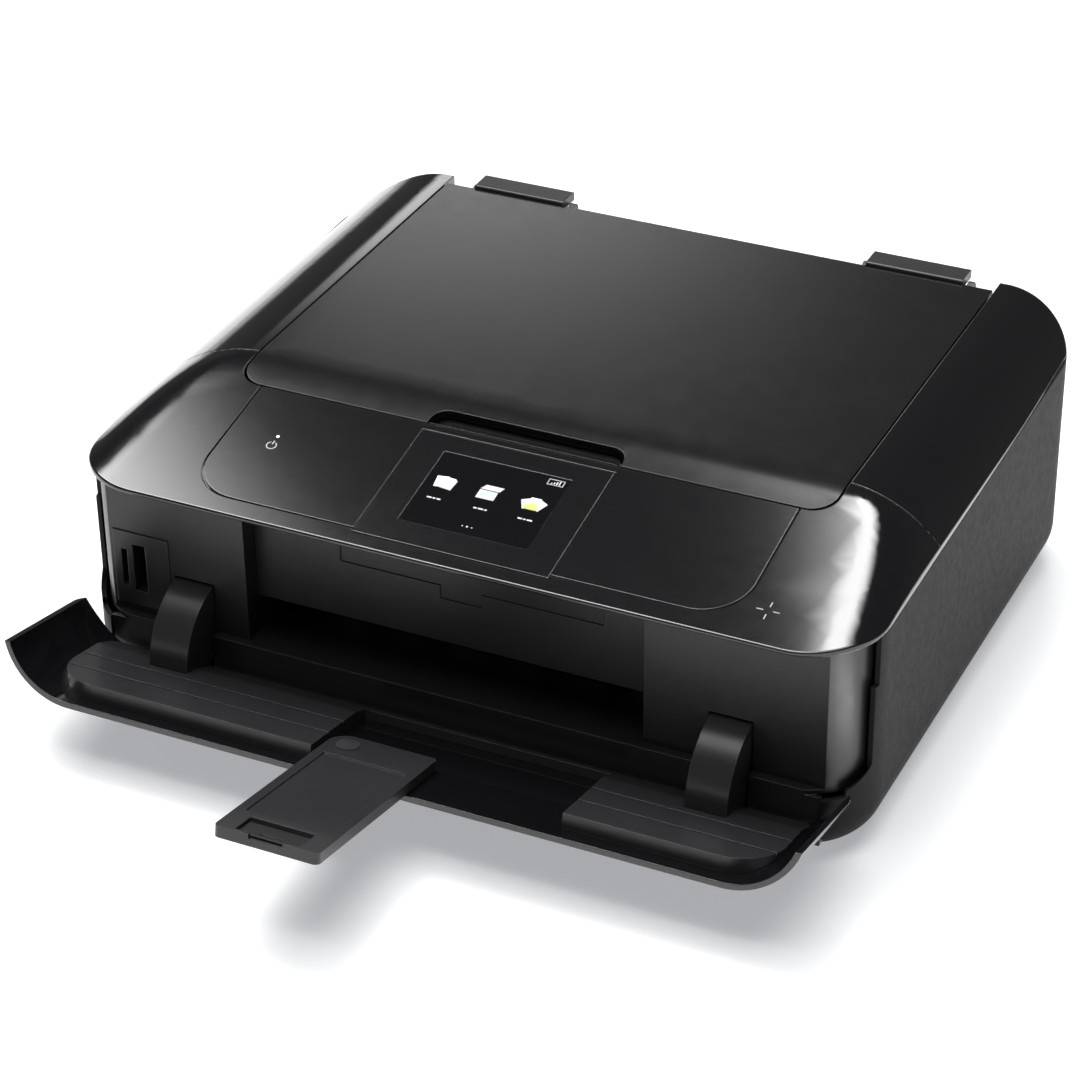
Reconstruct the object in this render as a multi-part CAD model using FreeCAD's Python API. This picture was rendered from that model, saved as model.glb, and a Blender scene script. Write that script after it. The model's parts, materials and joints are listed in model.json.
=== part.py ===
"""Inkjet all-in-one printer: fold-down output tray, flatbed scanner, print engine and cassette.

Modelled in millimetres with the front face of the casing at y = 0, the middle at x = 0 and the
surface it stands on at z = 0.  save() moves every piece back by SHIFT_Y, so that the origin lies
under the middle of the printer with its tray open and its tray arm out.
"""
import FreeCAD, Part
import math
import os

# ---- casing -------------------------------------------------------------------------------
HALF_WIDTH = 217.5
DEPTH = 353.0
FRONT_CORNER_R = 40.0
REAR_CORNER_R = 46.0
UNDERSIDE_Z = 3.0
BOTTOM_EDGE_R = 23.0
WALL = 2.5
GAP = 0.3
SEAM_Z = 122.6
SEAM_SLOPE = 0.02
SHIFT_Y = -100.1

# ---- top surface --------------------------------------------------------------------------
LID_TOP_Z = 147.0
CREASE_Y = 113.0
FRONT_SLOPE = math.tan(math.radians(11.2))
CREASE_BLEND = 1.6
SHOULDER_X = 170.0
SHOULDER_R = 68.4
TOP_EDGE_R = 1.2

# ---- lid, shoulders and panel -------------------------------------------------------------
LID_HALF = 165.5
LID_FRONT_Y = 94.5
LID_REAR_Y = 342.0
LID_CORNER_R = 14.0
LID_UNDERSIDE_Z = 136.0
LID_HINGE_Y = 350.0
LID_HINGE_Z = 140.0
LID_HINGE_X = 120.0
LID_HINGE_HALF = 28.0
LID_PIN_R = 2.5
NOTCH_HALF = 54.0
NOTCH_DEPTH = 12.0
NOTCH_CORNER_R = 9.0
LID_GAP = 1.0
HOUSING_FLOOR_Z = 120.7
FINGER_DEPTH = 4.5
SHOULDER_SEAM_Y = 120.5
SHOULDER_SEAM_EDGE_Y = 111.4
PANEL_HALF_FRONT = 150.0
PANEL_FRONT_Y = 12.0
PANEL_CORNER_R = 26.0
PANEL_GLASS = 1.2
PANEL_GAP = 0.8
DISPLAY_HALF = 53.5
DISPLAY_FRONT_Y = 9.5
DISPLAY_REAR_Y = 89.0
DISPLAY_THICK = 9.0
LCD_HALF = 35.3
LCD_FRONT_Y = 24.6
LCD_REAR_Y = 77.0

# ---- scanner unit -------------------------------------------------------------------------
SCAN_FLOOR_Z = 111.0
SCAN_FRONT_Y = 93.0
SCAN_REAR_Y = 341.0
SCAN_HALF = 207.0
DECK_Z = 131.6
DECK_THICK = 4.0
GLASS_HALF = 156.0
GLASS_FRONT_Y = 108.0
GLASS_REAR_Y = 330.0
GLASS_THICK = 2.8
UNIT_HINGE_Y = 346.8
UNIT_HINGE_Z = 131.5
UNIT_HINGE_X = 173.0
UNIT_PIN_R = 2.0
UNIT_OPEN_DEG = 35.0
STRIP_TOP_Z = 135.4
SCAN_BAR_X = -176.0
SCAN_BAR_WIDTH = 24.0
SCAN_RAIL_Y = 215.0
SCAN_RAIL_Z = 117.5
SCAN_RAIL_R = 3.0

# ---- lower casing -------------------------------------------------------------------------
BASE_HALF = 184.0
BASE_FRONT_Y = 25.0
BASE_REAR_Y = 330.0
CORNER_X = 198.0
RIM_GAP = 2.0
REAR_HALF = 171.0
CHIN_Z = 14.0
BAY_HALF = 124.0
BAY_TOP_Z = 17.9
SCREW_PLACES = [(sx * 150.0, y) for sx in (-1, 1) for y in (90.0, 180.0, 270.0)]
TRANSPORT_HALF = 112.0
TRANSPORT_LOW_Z = 31.0
TRANSPORT_HIGH_Z = 90.0
TRANSPORT_AXIS_Y = DEPTH - WALL / 2
TRANSPORT_AXIS_Z = TRANSPORT_LOW_Z + WALL / 2
TRANSPORT_PIN_R = 0.8
PORT_FACE_Y = DEPTH - 0.6

# ---- front opening ------------------------------------------------------------------------
COVER_BOTTOM_Z = 44.0
COVER_TOP_Z = 120.0
COVER_SIDE_Y = 27.9
COVER_CORNER_R = 12.0
FRAME_Y = 11.8
FRAME_INSET = 5.0
SILL_Y = 7.0
SILL_TOP_Z = 42.5
RECESS_LEFT = -118.0
RECESS_RIGHT = 103.0
RECESS_Y = 23.0
EXIT_TOP_Z = 64.0
CARD_LEFT = -196.0
CARD_RIGHT = -163.0
CARD_LOW_Z = 47.0
CARD_HIGH_Z = 91.0

# ---- output tray --------------------------------------------------------------------------
TRAY_AXIS_Y = 17.2
TRAY_AXIS_Z = 33.9
TRAY_OPEN_DEG = 78.0
TRAY_SHELL = 3.0
LINER_TOP = 11.0
LINER_REAR_TOP = 6.5
LINER_HALF = 196.0
LIP = 10.0
HINGE_ARM_R = 36.0
HINGE_ARM_X = 149.0
HINGE_ARM_WIDTH = 22.0
TRAY_PIN_R = 3.0
RUNNING = 0.05

# ---- tray arm -----------------------------------------------------------------------------
ARM_PIVOT_X = -30.0
ARM_PIVOT_V = 64.0
ARM_LEFT = -41.5
ARM_WIDTH = 55.5
ARM_REAR_V = 52.5
ARM_TIP_V = 176.0
ARM_LOW = 3.4
ARM_THICK = 6.0
ARM_PIN_R = 3.0
STOP_WIDTH = 33.0
STOP_LENGTH = 13.0

# ---- cassette -----------------------------------------------------------------------------
CASSETTE_HALF = 118.0
CASSETTE_FRONT_Y = 7.5
CASSETTE_REAR_Y = 322.0
CASSETTE_LOW_Z = 5.8
CASSETTE_TOP_Z = 17.2

# ---- print engine -------------------------------------------------------------------------
FEED_Y = 160.0
FEED_Z = 57.0
EXIT_Y = 62.0
EXIT_Z = 54.0
ROLLER_R = 6.0
SHAFT_R = 3.0
ROLLER_HALF = 124.0
GEAR_X = -203.0
GEAR_WIDTH = 5.0
MODULE = 1.0
FEED_TEETH = 36
IDLER_TEETH = 62
PINION_TEETH = 12
PINION_DEG = 30.0
IDLER_Y = (FEED_Y + EXIT_Y) / 2
IDLER_Z = (FEED_Z + EXIT_Z) / 2
TRAIN_DEG = math.degrees(math.atan2(EXIT_Z - FEED_Z, EXIT_Y - FEED_Y))
PINION_REACH = MODULE * (FEED_TEETH + PINION_TEETH) / 2
PINION_Y = FEED_Y + PINION_REACH * math.cos(math.radians(PINION_DEG))
PINION_Z = FEED_Z + PINION_REACH * math.sin(math.radians(PINION_DEG))
TURN_Y = 300.0
TURN_Z = 45.0
TURN_R = 16.0
TURN_SHAFT_R = 4.0
RAIL_Y = 158.0
RAIL_Z = 92.0
RAIL_R = 4.0
CARRIAGE_X = 138.0
CARRIAGE_HALF = 55.0
BELT_Y = 178.0
BELT_Z = 90.0
PULLEY_R = 6.0
PULLEY_X = 200.0
PULLEY_AXLE_R = 1.5
TANK_COUNT = 6

# ---- feet and screws ----------------------------------------------------------------------
FOOT_R = 9.0
FOOT_X = 165.0
FOOT_FRONT_Y = 60.0
FOOT_REAR_Y = 300.0
SCREW_R = 2.0

V = FreeCAD.Vector
BIG = 400.0


# ---- basic shapes -------------------------------------------------------------------------
def block(x0, x1, y0, y1, z0, z1):
    return Part.makeBox(x1 - x0, y1 - y0, z1 - z0, V(x0, y0, z0))


def rod(radius, start, end):
    way = end.sub(start)
    return Part.makeCylinder(radius, way.Length, start, way)


def fused(shapes):
    return shapes[0].multiFuse(shapes[1:]).removeSplitter() if len(shapes) > 1 else shapes[0]


def both_sides(shape):
    return Part.makeCompound([shape, shape.mirror(V(0, 0, 0), V(1, 0, 0))])


def polygon(points):
    return Part.makePolygon(points + [points[0]])


def profile_x(points, x0, x1):
    """Solid with a (y, z) outline, from x0 to x1."""
    face = Part.Face(polygon([V(x0, y, z) for y, z in points]))
    return face.extrude(V(x1 - x0, 0, 0))


def profile_z(points, z0, z1):
    """Solid with an (x, y) outline, from z0 to z1."""
    face = Part.Face(polygon([V(x, y, z0) for x, y in points]))
    return face.extrude(V(0, 0, z1 - z0))


def rounded_block(x0, x1, y0, y1, z0, z1, radius):
    """Block with its four upright edges rounded."""
    body = block(x0, x1, y0, y1, z0, z1)
    upright = [e for e in body.Edges if abs(e.Vertexes[0].Z - e.Vertexes[-1].Z) > 0.5 * (z1 - z0)]
    return body.makeFillet(radius, upright)


def save(name, shape):
    moved = shape.copy()
    moved.translate(V(0, SHIFT_Y, 0))
    moved.exportStep("parts/" + name + ".step")


# ---- casing volumes -----------------------------------------------------------------------
def plan_face(inset, z):
    """Plan outline of the casing: front and rear corners have their own radii."""
    half = HALF_WIDTH - inset
    front = inset
    rear = DEPTH - inset
    rf = FRONT_CORNER_R - inset
    rr = REAR_CORNER_R - inset
    cut = math.sqrt(0.5)

    def corner(sx, cy, r, toward):
        cx = sx * (half - r)
        return V(cx + sx * r * cut, cy + toward * r * cut, z)

    fr0, fr1 = V(half - rf, front, z), V(half, front + rf, z)
    rr0, rr1 = V(half, rear - rr, z), V(half - rr, rear, z)
    rl0, rl1 = V(-half + rr, rear, z), V(-half, rear - rr, z)
    fl0, fl1 = V(-half, front + rf, z), V(-half + rf, front, z)
    edges = [
        Part.Arc(fr0, corner(1, front + rf, rf, -1), fr1).toShape(),
        Part.LineSegment(fr1, rr0).toShape(),
        Part.Arc(rr0, corner(1, rear - rr, rr, 1), rr1).toShape(),
        Part.LineSegment(rr1, rl0).toShape(),
        Part.Arc(rl0, corner(-1, rear - rr, rr, 1), rl1).toShape(),
        Part.LineSegment(rl1, fl0).toShape(),
        Part.Arc(fl0, corner(-1, front + rf, rf, -1), fl1).toShape(),
        Part.LineSegment(fl1, fr0).toShape(),
    ]
    return Part.Face(Part.Wire(edges))


def plan_prism(inset, low, high):
    return plan_face(inset, low).extrude(V(0, 0, high - low))


def hull(inset):
    """Lower casing volume with its rounded bottom edge, open-ended at the top."""
    low = UNDERSIDE_Z + inset
    body = plan_face(inset, low).extrude(V(0, 0, 170.0 - low))
    bottom = [e for e in body.Edges if all(abs(v.Z - low) < 1e-6 for v in e.Vertexes)]
    return body.makeFillet(BOTTOM_EDGE_R - inset, bottom)


def seam_height(y):
    return SEAM_Z + SEAM_SLOPE * y


def above_seam(offset):
    near, far = -60.0, 420.0
    low = [(near, seam_height(near) + offset), (far, seam_height(far) + offset)]
    return profile_x(low + [(far, 320.0), (near, 320.0)], -BIG, BIG)


def below_seam(offset):
    near, far = -60.0, 420.0
    high = [(far, seam_height(far) + offset), (near, seam_height(near) + offset)]
    return profile_x([(near, -50.0), (far, -50.0)] + high, -BIG, BIG)


def side_drop(x):
    """How far the round shoulder has fallen below the lid's level."""
    past = max(0.0, abs(x) - SHOULDER_X)
    return SHOULDER_R - math.sqrt(SHOULDER_R ** 2 - past ** 2)


def front_drop(y):
    """How far the front slope has fallen below the lid's level, with an eased crease."""
    drop = FRONT_SLOPE * (CREASE_Y - y)
    eased = max(0.0, drop + CREASE_BLEND) ** 2 / (4 * CREASE_BLEND)
    return drop if drop > CREASE_BLEND else eased


def top_height(x, y):
    """Lid level, falling off in a round shoulder at the sides and a slope at the front."""
    return LID_TOP_Z - (side_drop(x) ** 3 + front_drop(y) ** 3) ** (1 / 3)


def spread(start, end, count):
    return [start + (end - start) * i / (count - 1) for i in range(count)]


def above_top():
    """Everything above the top surface, used as a cutter."""
    across = spread(-HALF_WIDTH - 8.0, HALF_WIDTH + 8.0, 83)
    along = spread(-8.0, DEPTH + 8.0, 67)
    surface = Part.BSplineSurface()
    surface.interpolate([[V(x, y, top_height(x, y)) for y in along] for x in across])
    return surface.toShape().extrude(V(0, 0, 120.0))


HULL = hull(0.0)
HULL_INNER = hull(WALL)
ABOVE_TOP = above_top()


def lowered(depth):
    cutter = ABOVE_TOP.copy()
    cutter.translate(V(0, 0, -depth))
    return cutter


def top_volume(inset):
    """Upper casing volume, from just above the seam to the top surface."""
    body = plan_prism(inset, 90.0, 180.0)
    return body.cut(below_seam(GAP)).cut(lowered(inset))


def softened(body, radius):
    """Round the outline where the top surface meets the upright sides."""
    rim = []
    for edge in body.Edges:
        middle = edge.valueAt((edge.FirstParameter + edge.LastParameter) / 2)
        on_top = abs(middle.z - top_height(middle.x, middle.y)) < 0.4
        if on_top and middle.z > seam_height(middle.y) + GAP + 0.5:
            rim.append(edge)
    return body.makeFillet(radius, rim)


TOP = softened(top_volume(0.0), TOP_EDGE_R)
TOP_INNER = plan_prism(WALL, 90.0, 180.0).cut(lowered(WALL))
TOP_SHELL = TOP.cut(TOP_INNER)
LOWER_SHELL = HULL.cut(HULL_INNER).cut(above_seam(-GAP))


# ---- lid ----------------------------------------------------------------------------------
def lid_region(grow):
    """Column over the lid: rounded front corners and the finger notch in its front edge."""
    half = LID_HALF + grow
    front = LID_FRONT_Y - grow
    column = rounded_block(-half, half, front, 420.0, 60.0, 220.0, LID_CORNER_R)
    notch = notch_block(grow, front - 5.0, front + NOTCH_DEPTH, 0.0, 300.0)
    return column.cut(notch).cut(block(-BIG, BIG, LID_REAR_Y + grow, 500.0, 0.0, 300.0))


def notch_block(inset, front, rear, low, high):
    """Block with the finger notch's outline, less an inset; its two rear corners are round."""
    half = NOTCH_HALF - inset
    body = block(-half, half, front, rear, low, high)
    corners = [e for e in body.Edges if abs(e.CenterOfMass.y - rear) < 0.01
               and abs(abs(e.CenterOfMass.x) - half) < 0.01]
    return body.makeFillet(NOTCH_CORNER_R - inset, corners)


def lid_shell():
    inner = lowered(WALL)
    solid = lid_region(0.0).common(TOP).cut(block(-BIG, BIG, -50, 500, 0, LID_UNDERSIDE_Z))
    hollow = lid_region(-WALL).cut(inner).cut(block(-BIG, BIG, -50, 500, 0, LID_UNDERSIDE_Z - 1))
    inset = 12.0
    ribs = [block(-LID_HALF + inset, LID_HALF - inset, y, y + 2.0, LID_UNDERSIDE_Z, LID_TOP_Z - 1)
            for y in (150.0, 205.0, 260.0, 315.0)]
    return fused([solid.cut(hollow)] + [rib.cut(inner) for rib in ribs])


def lid_pad():
    top = LID_UNDERSIDE_Z - 0.01
    bottom = DECK_Z + 0.5
    return block(-GLASS_HALF - 2, GLASS_HALF + 2, GLASS_FRONT_Y + 6, GLASS_REAR_Y + 2, bottom, top)


def lid_hinges():
    """Caps behind the lid with their knuckles and the arms that carry the lid."""
    x0, x1 = LID_HINGE_X - LID_HINGE_HALF, LID_HINGE_X + LID_HINGE_HALF
    cap = block(x0, x1, LID_REAR_Y + 0.01, LID_HINGE_Y + 8.0, LID_TOP_Z - 3.4, LID_TOP_Z + 2.0)
    edge = [e for e in cap.Edges if e.Length > 40 and e.CenterOfMass.z > LID_TOP_Z]
    cap = cap.makeFillet(1.5, edge)
    start, way = V(x0 + 4, LID_HINGE_Y, LID_HINGE_Z), V(x1 - x0 - 8, 0, 0)
    knuckle = rod(5.0, start, start + way)
    web = block(x0 + 4, x1 - 4, LID_HINGE_Y - 5, LID_HINGE_Y + 5, LID_HINGE_Z, LID_TOP_Z - 3)
    arm = block(x0 + 4, x1 - 4, LID_REAR_Y + 0.01, LID_HINGE_Y, LID_HINGE_Z - 1, LID_TOP_Z - 3)
    bore = rod(LID_PIN_R + RUNNING, start - V(9, 0, 0), start + way + V(9, 0, 0))
    return both_sides(fused([cap, knuckle, web, arm]).cut(bore))


# ---- shoulders and panel housing ----------------------------------------------------------
def front_unit_region():
    """Column over the panel housing, in front of the slanted seams with the shoulders."""
    out = 240.0
    fall = (SHOULDER_SEAM_Y - SHOULDER_SEAM_EDGE_Y) / (HALF_WIDTH - LID_HALF)
    edge_y = SHOULDER_SEAM_Y - fall * (out - LID_HALF)
    points = [(-LID_HALF, SHOULDER_SEAM_Y), (-out, edge_y), (-out, -20.0)]
    mirrored = [(-x, y) for x, y in reversed(points)]
    return profile_z(points + mirrored, 60.0, 220.0)


FRONT_UNIT = front_unit_region()
LID_HOLE = lid_region(LID_GAP)


def panel_outline(grow):
    """Column over the glossy panel: rounded lower corners, sides leaning in to the lid."""
    half = PANEL_HALF_FRONT + grow
    front = PANEL_FRONT_Y - grow
    body = rounded_block(-half, half, front, LID_FRONT_Y + 60.0, 60.0, 220.0, PANEL_CORNER_R)
    return body.cut(block(-BIG, BIG, LID_FRONT_Y - 0.8 + grow, 400, 0, 300))


def display_region(grow):
    half = DISPLAY_HALF + grow
    return block(-half, half, DISPLAY_FRONT_Y - grow, DISPLAY_REAR_Y + grow, 90.0, 200.0)


def panel_housing():
    """Front of the upper casing, with a floor, a rim under the seam and a well for the display."""
    skin = TOP_SHELL.common(FRONT_UNIT).cut(LID_HOLE)
    pocket = panel_outline(PANEL_GAP).cut(below_top(PANEL_GLASS + 0.1))
    front = DISPLAY_FRONT_Y
    well = display_region(GAP).fuse(block(-DISPLAY_HALF, DISPLAY_HALF, front - 0.9, front, 90, 200))
    skin = skin.cut(pocket).cut(well)
    low, high = HOUSING_FLOOR_Z, HOUSING_FLOOR_Z + 1.5
    rear = SCAN_FRONT_Y - GAP
    reach = block(-BIG, BIG, -5.0, rear, 0.0, 200.0)
    floor = plan_prism(WALL + 0.4, low, high)
    rim = plan_prism(WALL + 0.4, low, seam_height(0.0) + 1.5).cut(plan_prism(5.0, 100.0, 140.0))
    ledge = plan_prism(0.5, seam_height(0.0) + GAP, seam_height(0.0) + 1.5)
    ledge = ledge.cut(plan_prism(5.0, 100.0, 140.0)).cut(below_seam(GAP)).cut(well)
    sides = []
    for sign in (-1, 1):
        x = sign * (DISPLAY_HALF + 2.2)
        wall = block(x - 1.0, x + 1.0, DISPLAY_FRONT_Y, rear, high - 0.01, 160.0)
        sides.append(wall.cut(lowered(PANEL_GLASS + 0.4)))
    back = block(-BIG, BIG, rear - 2.0, rear, high - 0.01, 180.0)
    back = back.common(TOP_INNER).cut(lowered(WALL - 0.3)).cut(well)
    base = [s.common(reach) for s in (floor, rim, ledge)]
    body = fused([skin] + base + sides + [back]).cut(LID_HOLE)
    return body.cut(finger_recess().cut(below_top(FINGER_DEPTH))).fuse(finger_recess_floor())


def finger_recess():
    """Column over the dip in front of the lid's notch."""
    rear = LID_FRONT_Y + NOTCH_DEPTH + 1.0
    return block(-NOTCH_HALF, NOTCH_HALF, LID_FRONT_Y + 0.3, rear, 90, 200)


def finger_recess_floor():
    wide = notch_block(1.5, LID_FRONT_Y - 2.0, LID_FRONT_Y + NOTCH_DEPTH - 1.5, 90, 200)
    return wide.cut(lowered(FINGER_DEPTH)).cut(below_top(FINGER_DEPTH + 1.6))


def below_top(depth):
    """Everything deeper than depth under the top surface."""
    box = block(-260.0, 260.0, -20.0, 420.0, 40.0, 250.0)
    return box.cut(lowered(depth))


def touch_panel():
    layer = panel_outline(0.0).cut(lowered(0.02)).cut(below_top(PANEL_GLASS))
    return layer.cut(display_region(GAP)).cut(LID_HOLE)


def display_panel():
    """Tilting middle section: a wedge with a pocket for the screen."""
    slab = display_region(0.0).cut(lowered(0.0)).cut(below_top(DISPLAY_THICK)).cut(below_seam(0.6))
    pocket = block(-LCD_HALF - 0.1, LCD_HALF + 0.1, LCD_FRONT_Y - 0.1, LCD_REAR_Y + 0.1, 90, 200)
    return slab.cut(pocket.cut(below_top(1.1)))


def lcd_module():
    plate = block(-LCD_HALF, LCD_HALF, LCD_FRONT_Y, LCD_REAR_Y, 90.0, 200.0)
    return plate.cut(lowered(0.03)).cut(below_top(1.0))


def hinge_relief():
    """Wedge cut from the rear lower edge, so that the unit can swing up without touching."""
    rise = math.tan(math.radians(UNIT_OPEN_DEG + 2.0))
    y0, y1 = UNIT_HINGE_Y, DEPTH + 10.0
    z0 = UNIT_HINGE_Z
    return profile_x([(y0, z0), (y1, z0 + rise * (y1 - y0)), (y1, 60.0), (y0, 60.0)], -BIG, BIG)


def shoulder(sign):
    """One rounded side of the upper casing, with its inner wall beside the lid."""
    skin = TOP_SHELL.common(block(LID_HALF + LID_GAP, 260, -20, 420, 60, 260)).cut(FRONT_UNIT_WIDE)
    inner, outer = LID_HALF + LID_GAP, LID_HALF + LID_GAP + 2.0
    wall = block(inner, outer, SHOULDER_SEAM_Y + 3, 352.0, DECK_Z + 0.01, 160.0)
    body = fused([skin, wall.common(TOP)]).cut(hinge_relief())
    body = body.cut(unit_hinge_room())
    return body if sign > 0 else body.mirror(V(0, 0, 0), V(1, 0, 0))


def unit_hinge_room():
    x0, x1 = UNIT_HINGE_X - 8.6, UNIT_HINGE_X + 8.6
    return block(x0, x1, SCAN_REAR_Y - 2.0, DEPTH - WALL, DECK_Z - 6.0, UNIT_HINGE_Z + 6.0)


def widened(shape, gap):
    """The same column moved back a little, which leaves a seam of that width."""
    moved = shape.copy()
    moved.translate(V(0, gap, 0))
    return fused([shape, moved])


FRONT_UNIT_WIDE = widened(FRONT_UNIT, GAP)


# ---- scanner unit ------------------------------------------------------------------------
def scanner_frame():
    """Tub under the lid: floor, walls, the deck round the glass and the rear strip with ears."""
    tub = block(-SCAN_HALF, SCAN_HALF, SCAN_FRONT_Y, SCAN_REAR_Y, SCAN_FLOOR_Z, DECK_Z)
    tub = tub.common(plan_prism(WALL + 1.2, 90.0, 180.0))
    inside = block(-SCAN_HALF + 2.5, SCAN_HALF - 2.5, SCAN_FRONT_Y + 2.5, SCAN_REAR_Y - 2.5,
                   SCAN_FLOOR_Z + 2.0, DECK_Z - DECK_THICK)
    inside = inside.common(plan_prism(WALL + 3.7, 90.0, 180.0))
    window = block(-GLASS_HALF + 4, GLASS_HALF - 4, GLASS_FRONT_Y + 4, GLASS_REAR_Y - 4,
                   DECK_Z - DECK_THICK - 1, DECK_Z + 3)
    seat = block(-GLASS_HALF - 0.1, GLASS_HALF + 0.1, GLASS_FRONT_Y - 0.1, GLASS_REAR_Y + 0.1,
                 DECK_Z - GLASS_THICK - 0.05, DECK_Z + 3)
    tub = tub.cut(inside).cut(window).cut(seat)
    strip = block(-LID_HALF, LID_HALF, SCAN_REAR_Y - 0.5, DEPTH, DECK_Z - 4.0, STRIP_TOP_Z)
    dip = block(LID_HINGE_X - 25.0, LID_HINGE_X + 25.0, SCAN_REAR_Y + 1, 400.0, 133.0, 160.0)
    strip = strip.cut(dip).cut(dip.mirror(V(0, 0, 0), V(1, 0, 0)))
    body = fused([tub, strip, ears_of_lid_hinge(), ears_of_unit_hinge()]).cut(hinge_relief())
    rail = rod(SCAN_RAIL_R, V(-BIG, SCAN_RAIL_Y, SCAN_RAIL_Z), V(BIG, SCAN_RAIL_Y, SCAN_RAIL_Z))
    return body.cut(rail).cut(lid_hinge_pins()).cut(unit_hinge_pins())


def ears_of_lid_hinge():
    ears = []
    for x in (LID_HINGE_X - LID_HINGE_HALF - 4.0, LID_HINGE_X + LID_HINGE_HALF + 1.0):
        post = block(x, x + 3.0, LID_HINGE_Y - 5.0, LID_HINGE_Y + 3.0, DECK_Z - 2.0, LID_HINGE_Z)
        top = rod(5.0, V(x, LID_HINGE_Y, LID_HINGE_Z), V(x + 3.0, LID_HINGE_Y, LID_HINGE_Z))
        ears += [post, top]
    pair = fused(ears)
    return fused([pair, pair.mirror(V(0, 0, 0), V(1, 0, 0))])


def ears_of_unit_hinge():
    ears = []
    for x in (UNIT_HINGE_X - 8.0, UNIT_HINGE_X + 3.7):
        y0, y1 = SCAN_REAR_Y - 0.5, UNIT_HINGE_Y + 1.5
        ears.append(block(x, x + 4.3, y0, y1, DECK_Z - 4.0, UNIT_HINGE_Z + 3.5))
    return both_sides(fused(ears))


def lid_hinge_pins():
    reach = LID_HINGE_HALF + 4.0
    start = V(LID_HINGE_X - reach, LID_HINGE_Y, LID_HINGE_Z)
    return both_sides(rod(LID_PIN_R, start, start + V(2 * reach, 0, 0)))


def unit_hinge_pins():
    start = V(UNIT_HINGE_X - 8.0, UNIT_HINGE_Y, UNIT_HINGE_Z)
    return both_sides(rod(UNIT_PIN_R, start, start + V(16.0, 0, 0)))


def scan_glass():
    return block(-GLASS_HALF, GLASS_HALF, GLASS_FRONT_Y, GLASS_REAR_Y, DECK_Z - GLASS_THICK, DECK_Z)


def scan_rail():
    start = V(-SCAN_HALF, SCAN_RAIL_Y, SCAN_RAIL_Z)
    return rod(SCAN_RAIL_R, start, start + V(2 * SCAN_HALF, 0, 0))


def scan_carriage():
    half = SCAN_BAR_WIDTH / 2
    x0, x1 = SCAN_BAR_X - half, SCAN_BAR_X + half
    body = block(x0, x1, SCAN_FRONT_Y + 8, SCAN_REAR_Y - 8, SCAN_FLOOR_Z + 3, DECK_Z - 6.0)
    trough = block(x0 + 6, x1 - 6, SCAN_FRONT_Y + 14, SCAN_REAR_Y - 14, DECK_Z - 9.0, DECK_Z)
    start = V(x0 - 1, SCAN_RAIL_Y, SCAN_RAIL_Z)
    bore = rod(SCAN_RAIL_R + RUNNING, start, start + V(SCAN_BAR_WIDTH + 2, 0, 0))
    return body.cut(trough).cut(bore)


# ---- lower casing -------------------------------------------------------------------------
def front_view_block(half, low, high, radius, y0, y1):
    """Block with its two lower corners rounded as seen from the front."""
    body = block(-half, half, y0, y1, low, high)
    lower = [e for e in body.Edges
             if abs(e.CenterOfMass.z - low) < 0.01 and abs(abs(e.CenterOfMass.x) - half) < 0.01]
    return body.makeFillet(radius, lower)


def cover_rim():
    low = COVER_BOTTOM_Z - RIM_GAP
    half = HALF_WIDTH - 1.6
    return front_view_block(half, low, 200.0, COVER_CORNER_R + 0.6, -20.0, COVER_SIDE_Y + 0.6)


def side_cover(sign):
    """Side of the lower casing with its rounded bottom edge and both corners."""
    half = LOWER_SHELL.common(block(REAR_HALF + GAP, 260.0, -10.0, 400.0, 0.0, 200.0))
    half = half.cut(block(0.0, BASE_HALF + GAP, BASE_FRONT_Y, BASE_REAR_Y, 0.0, 12.0))
    half = half.cut(block(0.0, CORNER_X + GAP, -10.0, BASE_FRONT_Y + GAP, 0.0, 200.0))
    half = half.cut(cover_rim()).cut(block(0.0, 260.0, -10.0, COVER_SIDE_Y + 0.6, 56.0, 200.0))
    scoop = block(210.0, 230.0, 20.0, COVER_SIDE_Y + 3.4, 96.0, 126.0)
    swing_room = block(CORNER_X, CORNER_X + 10.0, 5.0, 16.0, 39.0, 60.0)
    half = half.cut(scoop).cut(swing_room)
    return half if sign > 0 else half.mirror(V(0, 0, 0), V(1, 0, 0))


def rear_cover():
    """Back panel, with cut-outs for the transport cover, the inlet and the ports."""
    panel = LOWER_SHELL.common(block(-REAR_HALF, REAR_HALF, BASE_REAR_Y + GAP, 400.0, 0.0, 200.0))
    gap = 0.5
    low, high = TRANSPORT_LOW_Z - 1.6, TRANSPORT_HIGH_Z + gap
    panel = panel.cut(block(-TRANSPORT_HALF - gap, TRANSPORT_HALF + gap, 340.0, 360.0, low, high))
    panel = panel.cut(inlet_block(0.2, DEPTH + 5.0)).cut(port_block(0.2, DEPTH + 5.0))
    axis_low, axis_high = [V(sign * (TRANSPORT_HALF + 4.0), TRANSPORT_AXIS_Y, TRANSPORT_AXIS_Z)
                           for sign in (-1, 1)]
    panel = panel.cut(rod(TRANSPORT_PIN_R + 0.2, axis_low, axis_high))
    slots = [block(x, x + 2.5, 340.0, 360.0, 100.0, 118.0) for x in spread(-150.0, -90.0, 11)]
    return panel.cut(Part.makeCompound(slots))


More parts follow.
